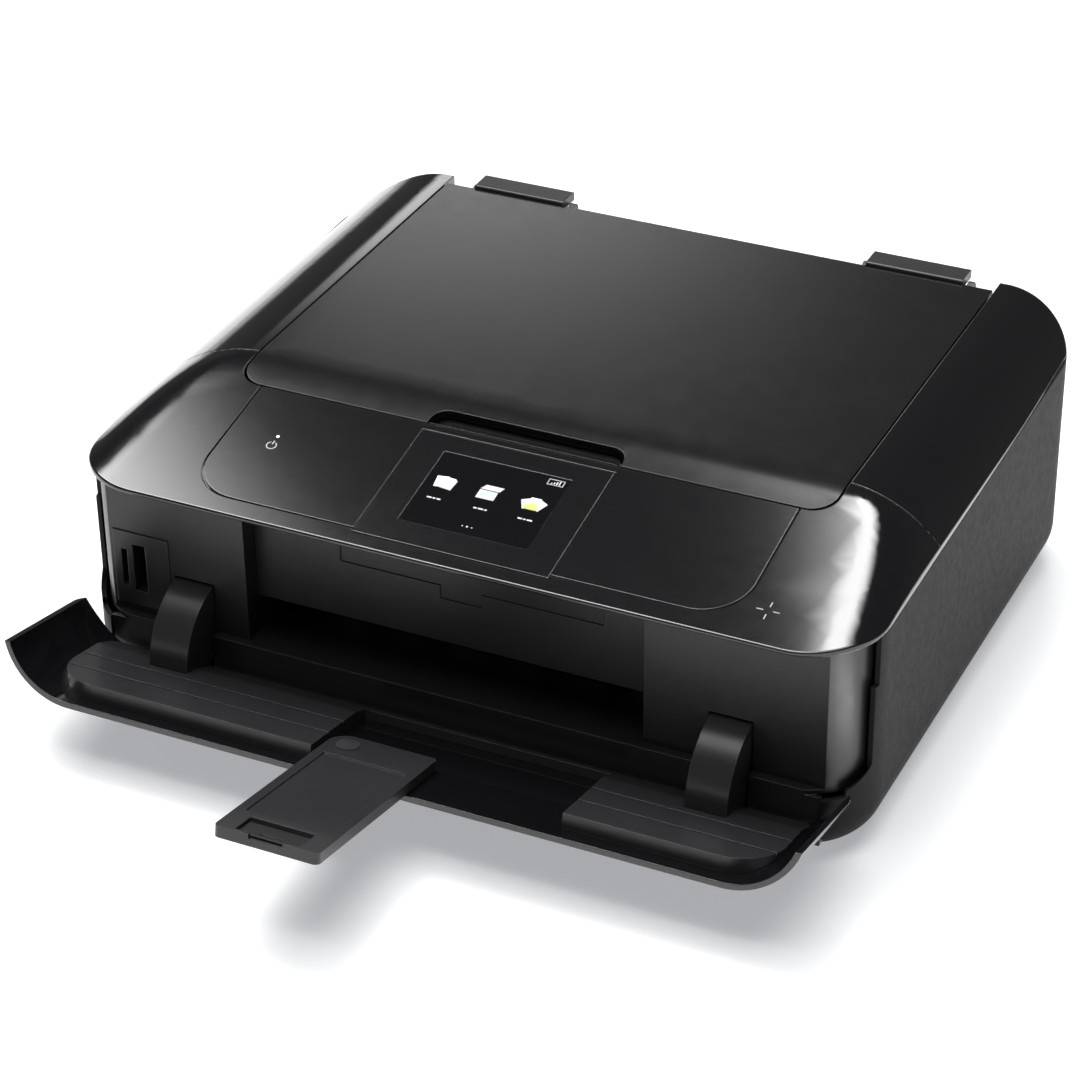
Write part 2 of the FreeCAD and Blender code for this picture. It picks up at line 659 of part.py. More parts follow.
def transport_cover():
    """Cover over the rear paper turn; it swings down and back on its lower edge."""
    half = TRANSPORT_HALF
    plate = block(-half, half, DEPTH - WALL, DEPTH, TRANSPORT_AXIS_Z, TRANSPORT_HIGH_Z)
    bead = rod(WALL / 2, V(-half, TRANSPORT_AXIS_Y, TRANSPORT_AXIS_Z),
               V(half, TRANSPORT_AXIS_Y, TRANSPORT_AXIS_Z))
    pin = rod(TRANSPORT_PIN_R, V(-half - 2.5, TRANSPORT_AXIS_Y, TRANSPORT_AXIS_Z),
              V(half + 2.5, TRANSPORT_AXIS_Y, TRANSPORT_AXIS_Z))
    grip = block(-18.0, 18.0, DEPTH - 1.2, DEPTH + 1.0, TRANSPORT_HIGH_Z - 11.0, TRANSPORT_HIGH_Z - 3)
    ribs = [block(x - 0.8, x + 0.8, DEPTH - WALL - 9.0, DEPTH - WALL, TRANSPORT_LOW_Z + 14,
                  TRANSPORT_HIGH_Z - 14) for x in spread(-95.0, 95.0, 7)]
    return fused([plate.cut(grip), bead, pin] + ribs)


def base_pan():
    """Floor of the casing, with an upstand beside the cassette and screw bosses."""
    plate = LOWER_SHELL.common(block(-BASE_HALF, BASE_HALF, BASE_FRONT_Y + GAP,
                                     BASE_REAR_Y - GAP, 0.0, 12.0))
    walls = []
    for sign in (-1, 1):
        x = sign * (BAY_HALF + 4.0)
        walls.append(block(x - 1.2, x + 1.2, 30.0, 325.0, 5.0, 26.0))
    bosses = [Part.makeCylinder(4.5, 12.0, V(x, y, 5.0)) for x, y in SCREW_PLACES]
    holes = [Part.makeCylinder(SCREW_R, 20.0, V(x, y, 0.0)) for x, y in SCREW_PLACES]
    sinks = [Part.makeCylinder(3.7, 3.2, V(x, y, 1.0)) for x, y in SCREW_PLACES]
    return fused([plate] + walls + bosses).cut(Part.makeCompound(holes + sinks))


def casing_screws():
    screws = []
    for x, y in SCREW_PLACES:
        head = Part.makeCylinder(3.6, 1.0, V(x, y, 3.2))
        cross = block(x - 1.6, x + 1.6, y - 0.4, y + 0.4, 3.0, 3.8)
        cross = cross.fuse(block(x - 0.4, x + 0.4, y - 1.6, y + 1.6, 3.0, 3.8))
        screws.append(head.fuse(Part.makeCylinder(SCREW_R, 11.0, V(x, y, 4.1))).cut(cross))
    return Part.makeCompound(screws)


def rubber_feet():
    places = [(sx * FOOT_X, y) for sx in (-1, 1) for y in (FOOT_FRONT_Y, FOOT_REAR_Y)]
    feet = []
    for x, y in places:
        foot = Part.makeCylinder(FOOT_R, UNDERSIDE_Z, V(x, y, 0.0))
        feet.append(foot.makeChamfer(0.6, [e for e in foot.Edges if e.CenterOfMass.z < 0.01]))
    return Part.makeCompound(feet)


# ---- front of the lower casing -----------------------------------------------------------
def hinge_arm_slots():
    half = HINGE_ARM_WIDTH / 2 + 0.7
    slot = block(HINGE_ARM_X - half, HINGE_ARM_X + half, -5.0, 62.0, 22.0, 71.0)
    return both_sides(slot)


def lower_front():
    """Chin, set-back strip above it, sill and the ears that carry the tray's pins."""
    chin = LOWER_SHELL.common(block(-CORNER_X, CORNER_X, -5.0, BASE_FRONT_Y, 0.0, CHIN_Z))
    half = CORNER_X
    face = block(-half, half, SILL_Y, SILL_Y + WALL, CHIN_Z - 2.5, SILL_TOP_Z - 2.5)
    lip = block(-half, half, 0.0, SILL_Y + WALL, CHIN_Z - 2.5, CHIN_Z).common(HULL)
    sill = plan_prism(FRAME_INSET, SILL_TOP_Z - 2.5, SILL_TOP_Z)
    sill = sill.common(block(-BIG, BIG, SILL_Y, 40.0, 0.0, 200.0))
    shelf = block(RECESS_LEFT, RECESS_RIGHT, 30.0, 52.0, SILL_TOP_Z - 2.5, SILL_TOP_Z)
    bay = block(-BAY_HALF, BAY_HALF, -5.0, 60.0, 0.0, BAY_TOP_Z)
    ears = []
    for x in (HINGE_ARM_X - 18.0, HINGE_ARM_X + 12.0):
        ears.append(block(x, x + 6.0, SILL_Y + 1.0, 25.0, 27.0, SILL_TOP_Z - 2.0))
    ears = both_sides(fused(ears))
    body = fused([chin, face, lip, sill, shelf, ears])
    bores = both_sides(tray_pin(TRAY_PIN_R + RUNNING))
    return body.cut(bay).cut(hinge_arm_slots()).cut(bores)


def front_frame():
    """Wall behind the closed tray: rounded corner posts, side walls and the exit recess."""
    low, high = SILL_TOP_Z + 0.01, HOUSING_FLOOR_Z - 0.3
    outer = plan_prism(FRAME_INSET, low, high).cut(block(-BIG, BIG, -5, FRAME_Y, 0, 200))
    inner = plan_prism(FRAME_INSET + WALL, 0, 200).cut(block(-BIG, BIG, -5, FRAME_Y + WALL, 0, 200))
    wall = outer.cut(inner).common(block(-BIG, BIG, 0.0, 42.0, 0.0, 200.0))
    wall = wall.cut(block(RECESS_LEFT, RECESS_RIGHT, -5.0, 100.0, 0.0, 200.0))
    sides = [block(RECESS_LEFT - WALL, RECESS_LEFT, FRAME_Y, 50.0, low, high),
             block(RECESS_RIGHT, RECESS_RIGHT + WALL, FRAME_Y, 50.0, low, high)]
    roof = block(RECESS_LEFT, RECESS_RIGHT, RECESS_Y + 3.0, 50.0, high - 2.0, high)
    body = fused([wall] + sides + [roof])
    return body.cut(hinge_arm_slots()).cut(card_slot_hole())


def exit_panel():
    """Upper inner panel above the paper exit, with a stepped grip outline."""
    panel = block(RECESS_LEFT + 0.1, RECESS_RIGHT - 0.1, RECESS_Y, RECESS_Y + WALL,
                  EXIT_TOP_Z, HOUSING_FLOOR_Z - 0.5)
    middle = (RECESS_LEFT + RECESS_RIGHT) / 2
    step = block(middle - 61, middle + 84.5, RECESS_Y - 1, RECESS_Y + 0.8, 97.0, 125.0)
    tab = block(middle - 5.0, middle + 18.0, RECESS_Y - 1, RECESS_Y + 0.8, 89.5, 97.0)
    lip = block(RECESS_LEFT + 0.1, RECESS_RIGHT - 0.1, RECESS_Y, RECESS_Y + 8.0,
                EXIT_TOP_Z, EXIT_TOP_Z + 2.5)
    return fused([panel.cut(step).cut(tab), lip])


def card_slot_hole():
    return block(CARD_LEFT + 1.5, CARD_RIGHT - 1.5, 5.0, 30.0, CARD_LOW_Z + 1.5, CARD_HIGH_Z - 1.5)


def card_slots():
    """Card reader: a face plate in the left wall and the reader body behind it."""
    face = block(CARD_LEFT, CARD_RIGHT, FRAME_Y - 0.7, FRAME_Y, CARD_LOW_Z, CARD_HIGH_Z)
    body = block(CARD_LEFT + 1.7, CARD_RIGHT - 1.7, FRAME_Y, 34.0, CARD_LOW_Z + 1.7, CARD_HIGH_Z - 1.7)
    wide = block(-184.5, -177.0, 5.0, 31.0, 56.0, 84.0)
    narrow = block(-191.5, -188.0, 5.0, 31.0, 58.0, 80.0)
    return face.fuse(body).cut(wide).cut(narrow).removeSplitter()


# ---- output tray --------------------------------------------------------------------------
def opened(shape):
    """Turn a piece drawn with the tray closed into its open place."""
    turned = shape.copy()
    turned.rotate(V(0, TRAY_AXIS_Y, TRAY_AXIS_Z), V(1, 0, 0), TRAY_OPEN_DEG)
    return turned


def tray_cover():
    """Outer shell of the tray: the whole front of the casing when it is closed."""
    low, high = COVER_BOTTOM_Z, COVER_TOP_Z
    ring = plan_prism(0.0, low, high).cut(plan_prism(TRAY_SHELL, low - 1, high + 1))
    ring = ring.common(front_view_block(HALF_WIDTH - 1.9, low, high, COVER_CORNER_R, -5, COVER_SIDE_Y))
    return opened(ring)


def arm_bay():
    left, right = ARM_LEFT - 2.5, ARM_PIVOT_X + ARM_TIP_V - ARM_PIVOT_V + 10.0
    low = TRAY_AXIS_Z + ARM_PIVOT_V - 46.5
    return block(left, right, TRAY_SHELL - 1.0, 30.0, low, COVER_TOP_Z + 5.0)


def tray_liner():
    """Paper surface inside the tray, thinner towards the hinge, with long grooves."""
    top = COVER_TOP_Z - LIP
    low = COVER_BOTTOM_Z + 1.0
    outline = [(TRAY_SHELL, low), (LINER_REAR_TOP, low), (LINER_TOP, low + 17.0),
               (LINER_TOP, top), (TRAY_SHELL, top)]
    wedge = profile_x(outline, -LINER_HALF, LINER_HALF)
    ends = block(-LINER_HALF, LINER_HALF, -5.0, 30.0, low, top)
    upper = [e for e in ends.Edges
             if abs(e.CenterOfMass.z - top) < 0.01 and abs(abs(e.CenterOfMass.x) - LINER_HALF) < 0.01]
    wedge = wedge.common(ends.makeFillet(26.0, upper))
    wedge = wedge.common(plan_prism(TRAY_SHELL, 0.0, 200.0))
    grooves = [block(-BIG, BIG, LINER_TOP - 0.7, 30.0, z, z + 1.0) for z in (76.0, 92.0)]
    arms = block(HINGE_ARM_X - 11.2, HINGE_ARM_X + 11.2, 0.0, 30.0, 40.0, 71.0)
    cut = Part.makeCompound(grooves + [arm_bay(), arms, arms.mirror(V(0, 0, 0), V(1, 0, 0))])
    return opened(wedge.cut(cut))


def tray_pin(radius):
    start = V(HINGE_ARM_X - 17.8, TRAY_AXIS_Y, TRAY_AXIS_Z)
    return rod(radius, start, start + V(35.6, 0, 0))


def tray_pins():
    """Two hinge pins and the headed pivot of the tray arm."""
    high = ARM_LOW + ARM_THICK
    pivot = arm_pivot(ARM_PIN_R, TRAY_SHELL, high + 0.5).fuse(arm_pivot(6.0, high + 0.1, high + 1.1))
    return Part.makeCompound([opened(pivot), both_sides(tray_pin(TRAY_PIN_R))])


def around_tray_axis(radius, degrees):
    """(y, z) of a point around the tray's axis, from the +Y direction upwards."""
    angle = math.radians(degrees)
    return V(0, TRAY_AXIS_Y + radius * math.cos(angle), TRAY_AXIS_Z + radius * math.sin(angle))


def tray_hinge_arms():
    """Quarter-round arms, centred on the hinge, that join the tray to its pins."""
    low = 90.0 - TRAY_OPEN_DEG
    hub = 7.0
    foot = V(0, TRAY_SHELL, COVER_BOTTOM_Z + 1.0)
    points = [around_tray_axis(HINGE_ARM_R, 90.0), around_tray_axis(HINGE_ARM_R, low),
              around_tray_axis(hub, low - 90.0), around_tray_axis(hub, 180.0),
              V(0, TRAY_AXIS_Y - hub, foot.z), foot, V(0, TRAY_SHELL, TRAY_AXIS_Z + HINGE_ARM_R)]
    edges = [Part.LineSegment(a, b).toShape() for a, b in zip(points[1:], points[2:])]
    edges[1] = Part.Arc(points[2], around_tray_axis(hub, 231.0), points[3]).toShape()
    edges.append(Part.LineSegment(points[-1], points[0]).toShape())
    edges.append(Part.Arc(points[0], around_tray_axis(HINGE_ARM_R, 51.0), points[1]).toShape())
    face = Part.Face(Part.Wire(Part.__sortEdges__(edges)))
    x0 = HINGE_ARM_X - HINGE_ARM_WIDTH / 2
    face.translate(V(x0, 0, 0))
    arm = face.extrude(V(HINGE_ARM_WIDTH, 0, 0)).cut(tray_pin(TRAY_PIN_R))
    return opened(both_sides(arm))


def arm_pivot(radius, low, high):
    z = TRAY_AXIS_Z + ARM_PIVOT_V
    return rod(radius, V(ARM_PIVOT_X, low, z), V(ARM_PIVOT_X, high, z))


def stop_x():
    return ARM_LEFT + ARM_WIDTH / 2


def tray_arm():
    """Swing-out arm with a window at its tip for the paper stop."""
    z0, z1 = TRAY_AXIS_Z + ARM_REAR_V, TRAY_AXIS_Z + ARM_TIP_V
    high = ARM_LOW + ARM_THICK
    body = block(ARM_LEFT, ARM_LEFT + ARM_WIDTH, ARM_LOW, high, z0, z1)
    edges = [e for e in body.Edges if abs(e.Length - ARM_THICK) < 0.01]
    near = [e for e in edges if e.CenterOfMass.z < z0 + 1 and e.CenterOfMass.x < ARM_LEFT + 1]
    body = body.makeFillet(11.0, near)
    others = [e for e in body.Edges if abs(e.Length - ARM_THICK) < 0.01
              and (e.CenterOfMass.z > z1 - 1 or e.CenterOfMass.x > ARM_LEFT + ARM_WIDTH - 1)]
    body = body.makeFillet(3.0, others)
    panel = block(ARM_LEFT + 5, ARM_LEFT + ARM_WIDTH - 5, high - 0.8, high + 5, z0 + 24, z1 - 22)
    half = STOP_WIDTH / 2 + 0.6
    window = block(stop_x() - half, stop_x() + half, 0.0, 20.0, z1 - 17.0, z1 - 2.2)
    notch = block(stop_x() - half + 8, stop_x() + half - 8, high - 2.5, 20.0, z1 - 3.0, z1 + 3.0)
    return opened(body.cut(panel).cut(window).cut(notch).cut(arm_pivot(ARM_PIN_R + RUNNING, 0, 20)))


def stop_axis():
    """Middle of the paper stop's hinge, with the tray closed."""
    return V(stop_x(), ARM_LOW + ARM_THICK / 2, TRAY_AXIS_Z + ARM_TIP_V - 15.0)


def paper_stop():
    c = stop_axis()
    half = STOP_WIDTH / 2
    plate = block(c.x - half, c.x + half, c.y - 1.4, c.y + 1.4, c.z, c.z + STOP_LENGTH - 1.0)
    grip = block(c.x - 6, c.x + 6, c.y + 0.8, c.y + 2.0, c.z + 8.5, c.z + 10.0)
    barrel = rod(1.4, V(c.x - half, c.y, c.z), V(c.x + half, c.y, c.z))
    return opened(fused([plate, barrel]).cut(grip))


# ---- cassette -----------------------------------------------------------------------------
def cassette_tray():
    """Open-topped paper drawer."""
    y0, y1 = CASSETTE_FRONT_Y + 3.0, CASSETTE_REAR_Y
    low, high = CASSETTE_LOW_Z, CASSETTE_TOP_Z
    body = block(-CASSETTE_HALF, CASSETTE_HALF, y0, y1, low, high)
    inside = block(-CASSETTE_HALF + 2, CASSETTE_HALF - 2, y0 + 2, y1 - 2, low + 2, high + 5)
    rack = [block(x - 1.0, x + 1.0, 60.0, 300.0, low + 1, low + 2.6) for x in (-20.0, 20.0)]
    return fused([body.cut(inside)] + rack)


def cassette_front():
    low, high = CASSETTE_LOW_Z - 1.4, CASSETTE_TOP_Z + 0.2
    y = CASSETTE_FRONT_Y
    plate = block(-BAY_HALF + 1.2, BAY_HALF - 1.2, y, y + 3.0, low, high)
    grip = block(-30.0, 30.0, y - 1.0, y + 1.6, low + 2.5, high - 4.0)
    return plate.cut(grip)


def paper_guide(sign):
    x = sign * 105.5
    wall = block(x - 1.0, x + 1.0, 140.0, 230.0, CASSETTE_LOW_Z + 2.7, CASSETTE_TOP_Z - 0.6)
    foot_x = sorted((x, x - sign * 28.0))
    foot = block(foot_x[0], foot_x[1], 170.0, 200.0, CASSETTE_LOW_Z + 2.7, CASSETTE_LOW_Z + 4.2)
    return wall.fuse(foot).removeSplitter()


def paper_end_guide():
    y = 24.0
    wall = block(-22.0, 22.0, y, y + 2.0, CASSETTE_LOW_Z + 2.7, CASSETTE_TOP_Z - 0.6)
    foot = block(-14.0, 14.0, y, y + 34.0, CASSETTE_LOW_Z + 2.7, CASSETTE_LOW_Z + 4.2)
    return wall.fuse(foot).removeSplitter()


# ---- print engine -------------------------------------------------------------------------
def gear(teeth, y, z, phase_deg, bore):
    """Spur gear with straight-flanked teeth; phase_deg is the direction of one tooth."""
    pitch_r = MODULE * teeth / 2
    tip_r, root_r = pitch_r + 0.8 * MODULE, pitch_r - 1.15 * MODULE
    step = 2 * math.pi / teeth
    points = []
    for i in range(teeth):
        middle = math.radians(phase_deg) + i * step
        for radius, offset in ((root_r, -0.27), (tip_r, -0.10), (tip_r, 0.10), (root_r, 0.27)):
            angle = middle + offset * step
            points.append((y + radius * math.cos(angle), z + radius * math.sin(angle)))
    body = profile_x(points, GEAR_X, GEAR_X + GEAR_WIDTH)
    hole = rod(bore, V(GEAR_X - 1, y, z), V(GEAR_X + GEAR_WIDTH + 1, y, z))
    return body.cut(hole)


def pinion_phase():
    """Tooth direction that puts a pinion gap on the nearest feed gear tooth."""
    pitch = 360.0 / FEED_TEETH
    offset = (TRAIN_DEG - PINION_DEG) % pitch
    turned = -offset * FEED_TEETH / PINION_TEETH
    return PINION_DEG + 180.0 + turned + 180.0 / PINION_TEETH


def feed_gear():
    return gear(FEED_TEETH, FEED_Y, FEED_Z, TRAIN_DEG, SHAFT_R)


def idler_gear():
    return gear(IDLER_TEETH, IDLER_Y, IDLER_Z, TRAIN_DEG + 180.0 + 180.0 / IDLER_TEETH,
                SHAFT_R + RUNNING)


def exit_gear():
    return gear(FEED_TEETH, EXIT_Y, EXIT_Z, TRAIN_DEG + 180.0, SHAFT_R)


def motor_pinion():
    return gear(PINION_TEETH, PINION_Y, PINION_Z, pinion_phase(), PULLEY_AXLE_R + RUNNING)


def roller_shaft(y, z):
    return rod(SHAFT_R, V(GEAR_X, y, z), V(ROLLER_HALF + 12.0, y, z))


def feed_roller():
    """Steel shaft, thicker where it grips the paper."""
    grip = rod(ROLLER_R, V(-ROLLER_HALF, FEED_Y, FEED_Z), V(ROLLER_HALF, FEED_Y, FEED_Z))
    return roller_shaft(FEED_Y, FEED_Z).fuse(grip)


def exit_rollers():
    tyres = []
    for x in spread(-102.0, 102.0, 7):
        start = V(x - 5.0, EXIT_Y, EXIT_Z)
        tyre = rod(ROLLER_R, start, start + V(10.0, 0, 0))
        tyres.append(tyre.cut(rod(SHAFT_R, start, start + V(10.0, 0, 0))))
    return Part.makeCompound(tyres)


def engine_brackets():
    """Side plates that carry the rollers, the idler's stud and the uprights of the upper unit."""
    plates = []
    for x in (-132.0, 128.0):
        low = 28.0
        plate = block(x, x + 2.5, 54.0, 170.0, low, 70.0)
        plate = plate.cut(block(x - 1, x + 4, 72.0, 150.0, 44.0, 80.0))
        rear = block(x, x + 2.5, 165.0, 320.0, low, 40.0)
        post = block(x, x + 2.5, 290.0, 310.0, 36.0, 56.0)
        plates.append(fused([plate, rear, post]))
    pair = Part.makeCompound(plates)
    for y, z, r in ((FEED_Y, FEED_Z, SHAFT_R), (EXIT_Y, EXIT_Z, SHAFT_R), (TURN_Y, TURN_Z, TURN_SHAFT_R)):
        pair = pair.cut(rod(r + RUNNING, V(-200.0, y, z), V(200.0, y, z)))
    stud = rod(SHAFT_R, V(-HALF_WIDTH + WALL, IDLER_Y, IDLER_Z),
               V(GEAR_X + GEAR_WIDTH + 1.5, IDLER_Y, IDLER_Z))
    return Part.makeCompound([pair, stud, both_sides(hinge_post())])


def platen():
    """Ribbed table under the print head."""
    table = block(-120.0, 120.0, 74.0, 148.0, 46.0, 50.0)
    ribs = [block(x - 0.8, x + 0.8, 76.0, 146.0, 50.0, 54.0) for x in spread(-114.0, 114.0, 13)]
    return fused([table] + ribs)


def turn_roller():
    """Large roller at the back that turns the paper from the cassette towards the front."""
    drum = rod(TURN_R, V(-105.0, TURN_Y, TURN_Z), V(105.0, TURN_Y, TURN_Z))
    return drum.fuse(rod(TURN_SHAFT_R, V(-134.0, TURN_Y, TURN_Z), V(132.0, TURN_Y, TURN_Z)))


def carriage_rail():
    return rod(RAIL_R, V(-211.0, RAIL_Y, RAIL_Z), V(211.0, RAIL_Y, RAIL_Z))


def rail_frame():
    """Steel channel behind the carriage, with end plates for the rail and a pulley axle."""
    half = SCAN_HALF + 5.0
    web = block(-half, half, 194.5, 196.0, 64.0, 106.0)
    flange = block(-half, half, 187.0, 196.0, 104.5, 106.0)
    ends = [block(x, x + 1.5, 148.0, 196.0, 82.0, 102.0) for x in (-half, half - 1.5)]
    tongue = block(-PULLEY_X - 6, -PULLEY_X + 6, BELT_Y - 6, 190.0, 104.5, 106.0)
    axle = Part.makeCylinder(PULLEY_AXLE_R, 20.0, V(-PULLEY_X, BELT_Y, BELT_Z - 5))
    hole = rod(RAIL_R, V(-BIG, RAIL_Y, RAIL_Z), V(BIG, RAIL_Y, RAIL_Z))
    return fused([web, flange] + ends + [tongue, axle]).cut(hole)


def print_carriage():
    """Open box for the ink tanks on a sleeve that runs along the rail."""
    x0, x1 = CARRIAGE_X - CARRIAGE_HALF, CARRIAGE_X + CARRIAGE_HALF
    box = block(x0, x1, 84.0, 136.0, 62.0, 98.0)
    room = block(x0 + 2, x1 - 2, 86.0, 134.0, 66.0, 120.0)
    back = block(x0 + 10, x1 - 10, 135.0, 150.0, 82.0, 102.0)
    sleeve = block(x0 + 6, x1 - 6, 150.0, 166.0, 84.0, 100.0)
    bore = rod(RAIL_R + RUNNING, V(x0 - 1, RAIL_Y, RAIL_Z), V(x1 + 1, RAIL_Y, RAIL_Z))
    return fused([box.cut(room), back, sleeve]).cut(bore)


def print_head():
    return block(CARRIAGE_X - 40.0, CARRIAGE_X + 40.0, 92.0, 128.0, 59.5, 62.0)


def ink_tanks():
    tanks = []
    step = (2 * CARRIAGE_HALF - 6.0) / TANK_COUNT
    for i in range(TANK_COUNT):
        x = CARRIAGE_X - CARRIAGE_HALF + 3.0 + i * step
        body = block(x + 0.5, x + step - 0.5, 88.0, 132.0, 66.2, 99.0)
        tab = block(x + 3.0, x + step - 3.0, 85.0 + 1.5, 88.0, 84.0, 101.0)
        tanks.append(body.fuse(tab).removeSplitter())
    return Part.makeCompound(tanks)


def belt_loop(inner_r, outer_r, z0, z1):
    def loop(radius, low, high):
        straight = block(-PULLEY_X, PULLEY_X, BELT_Y - radius, BELT_Y + radius, low, high)
        ends = [Part.makeCylinder(radius, high - low, V(sx * PULLEY_X, BELT_Y, low)) for sx in (-1, 1)]
        return fused([straight] + ends)
    return loop(outer_r, z0, z1).cut(loop(inner_r, z0 - 1, z1 + 1))


def carriage_belt():
    return belt_loop(PULLEY_R + 0.3, PULLEY_R + 1.5, BELT_Z - 3.0, BELT_Z + 3.0)


def pulley(x):
    """Belt pulley with three lightening holes."""
    wheel = Part.makeCylinder(PULLEY_R, 7.0, V(x, BELT_Y, BELT_Z - 3.5))
    holes = [Part.makeCylinder(1.2, 9.0, V(x + 3.9 * math.cos(a), BELT_Y + 3.9 * math.sin(a), BELT_Z - 4))
             for a in (0.0, 2 * math.pi / 3, 4 * math.pi / 3)]
    bore = Part.makeCylinder(PULLEY_AXLE_R + RUNNING, 20, V(x, BELT_Y, BELT_Z - 9))
    return wheel.cut(Part.makeCompound(holes)).cut(bore)


def motors():
    """Carriage motor with an upright axle, and feed motor with its axle along the rollers."""
    carriage = Part.makeCylinder(10.5, 26.0, V(PULLEY_X, BELT_Y, BELT_Z - 31.0))
    carriage = carriage.fuse(Part.makeCylinder(PULLEY_AXLE_R, 12.0, V(PULLEY_X, BELT_Y, BELT_Z - 6.0)))
    start = V(GEAR_X + GEAR_WIDTH + 2.0, PINION_Y, PINION_Z)
    feed = rod(11.5, start, start + V(30.0, 0, 0))
    feed = feed.fuse(rod(PULLEY_AXLE_R, V(GEAR_X, PINION_Y, PINION_Z), start + V(1, 0, 0)))
    return Part.makeCompound([carriage, feed])


def maintenance_station():
    """Parking place for the print head: a tub with two caps standing in it."""
    x0, x1 = CARRIAGE_X - 2.0, CARRIAGE_X + 56.0
    tub = block(x0, x1, 82.0, 146.0, 22.0, 50.0).cut(block(x0 + 2, x1 - 2, 84.0, 144.0, 30.0, 60.0))
    caps = []
    for x in (CARRIAGE_X + 8.0, CARRIAGE_X + 34.0):
        cap = block(x, x + 18.0, 90.0, 130.0, 29.0, 57.0)
        caps.append(cap.cut(block(x + 2, x + 16, 92.0, 128.0, 50.0, 60.0)))
    return fused([tub] + caps)


def power_supply():
    return block(-206.0, -140.0, 205.0, 320.0, 24.0, 62.0)


def inlet_block(grow=0.0, back=PORT_FACE_Y):
    return block(-164.0 - grow, -140.0 + grow, 330.0, back, 34.0 - grow, 52.0 + grow)


def power_inlet():
    """Two-pin mains inlet in the back panel."""
    body = inlet_block().cut(block(-160.5, -143.5, 338.0, 360.0, 38.5, 47.5))
    pins = [rod(1.2, V(x, 336.0, 43.0), V(x, 350.0, 43.0)) for x in (-156.3, -147.7)]
    return fused([body] + pins)


def port_block(grow=0.0, back=PORT_FACE_Y):
    return block(132.0 - grow, 164.0 + grow, 336.0, back, 36.0 - grow, 56.0 + grow)


def data_ports():
    """Square data socket and network socket side by side."""
    body = port_block()
    square = block(136.0, 144.0, 340.0, 360.0, 42.0, 50.0)
    tongue = block(138.5, 141.5, 339.0, 350.0, 44.5, 47.5)
    wide = block(148.5, 160.5, 340.0, 360.0, 41.0, 51.0)
    return body.cut(square).cut(wide).fuse(tongue)


def main_board():
    board = block(140.0, 206.0, 205.0, 328.0, 30.0, 31.6)
    chips = [block(150, 170, 230, 250, 31.6, 34), block(180, 192, 235, 247, 31.6, 33.5),
             block(150, 162, 270, 290, 31.6, 40), block(172, 200, 300, 310, 31.6, 42)]
    return fused([board] + chips)


def hinge_post():
    """Upright on the back panel that carries one side of the upper unit."""
    x0, x1 = UNIT_HINGE_X - 3.0, UNIT_HINGE_X + 3.0
    y, z = UNIT_HINGE_Y, UNIT_HINGE_Z
    stem = block(x0, x1, y - 3.2, y + 1.5, 60.0, z)
    eye = rod(3.2, V(x0, y, z), V(x1, y, z))
    bore = rod(UNIT_PIN_R + RUNNING, V(x0 - 1, y, z), V(x1 + 1, y, z))
    foot = block(x0 - 6, x0 + 0.8, y - 3.2, DEPTH - WALL, 60.0, 90.0)
    return fused([stem, eye, foot]).cut(bore)


# ---- every piece, by name -----------------------------------------------------------------
def pieces():
    return {
        "base_pan": base_pan(),
        "side_cover_left": side_cover(-1),
        "side_cover_right": side_cover(1),
        "rear_cover": rear_cover(),
        "lower_front": lower_front(),
        "front_frame": front_frame(),
        "exit_panel": exit_panel(),
        "card_slots": card_slots(),
        "rubber_feet": rubber_feet(),
        "casing_screws": casing_screws(),
        "engine_brackets": engine_brackets(),
        "power_supply": power_supply(),
        "power_inlet": power_inlet(),
        "data_ports": data_ports(),
        "main_board": main_board(),
        "platen": platen(),
        "carriage_rail": carriage_rail(),
        "rail_frame": rail_frame(),
        "carriage_belt": carriage_belt(),
        "motors": motors(),
        "maintenance_station": maintenance_station(),
        "transport_cover": transport_cover(),
        "tray_cover": tray_cover(),
        "tray_liner": tray_liner(),
        "tray_hinge_arms": tray_hinge_arms(),
        "tray_pins": tray_pins(),
        "tray_arm": tray_arm(),
        "paper_stop": paper_stop(),
        "cassette_tray": cassette_tray(),
        "cassette_front": cassette_front(),
        "paper_guide_left": paper_guide(-1),
        "paper_guide_right": paper_guide(1),
        "paper_end_guide": paper_end_guide(),
        "feed_roller": feed_roller(),
        "feed_gear": feed_gear(),
        "exit_shaft": roller_shaft(EXIT_Y, EXIT_Z),
        "exit_rollers": exit_rollers(),
        "exit_gear": exit_gear(),
        "idler_gear": idler_gear(),
        "motor_pinion": motor_pinion(),
        "turn_roller": turn_roller(),
        "drive_pulley": pulley(PULLEY_X),
        "idler_pulley": pulley(-PULLEY_X),
        "print_carriage": print_carriage(),
        "print_head": print_head(),
        "ink_tanks": ink_tanks(),
        "scanner_frame": scanner_frame(),
        "panel_housing": panel_housing(),
        "touch_panel": touch_panel(),
        "shoulder_left": shoulder(-1),
        "shoulder_right": shoulder(1),
        "hinge_pins": Part.makeCompound([lid_hinge_pins(), unit_hinge_pins()]),
        "scan_glass": scan_glass(),
        "scan_rail": scan_rail(),
        "scan_carriage": scan_carriage(),
        "display_panel": display_panel(),
        "lcd_module": lcd_module(),
        "lid_shell": lid_shell(),
        "lid_pad": lid_pad(),
        "lid_hinges": lid_hinges(),
    }


def main():
    os.makedirs("parts", exist_ok=True)
    for name, shape in pieces().items():
        save(name, shape)
        print(name, len(shape.Solids), "valid" if shape.isValid() else "NOT VALID")


main()
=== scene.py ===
"""Looks of a desktop inkjet printer: materials, screen contents, details, studio and camera."""

import json
import math

import bmesh
import bpy
from mathutils import Matrix, Vector
from mathutils.bvhtree import BVHTree


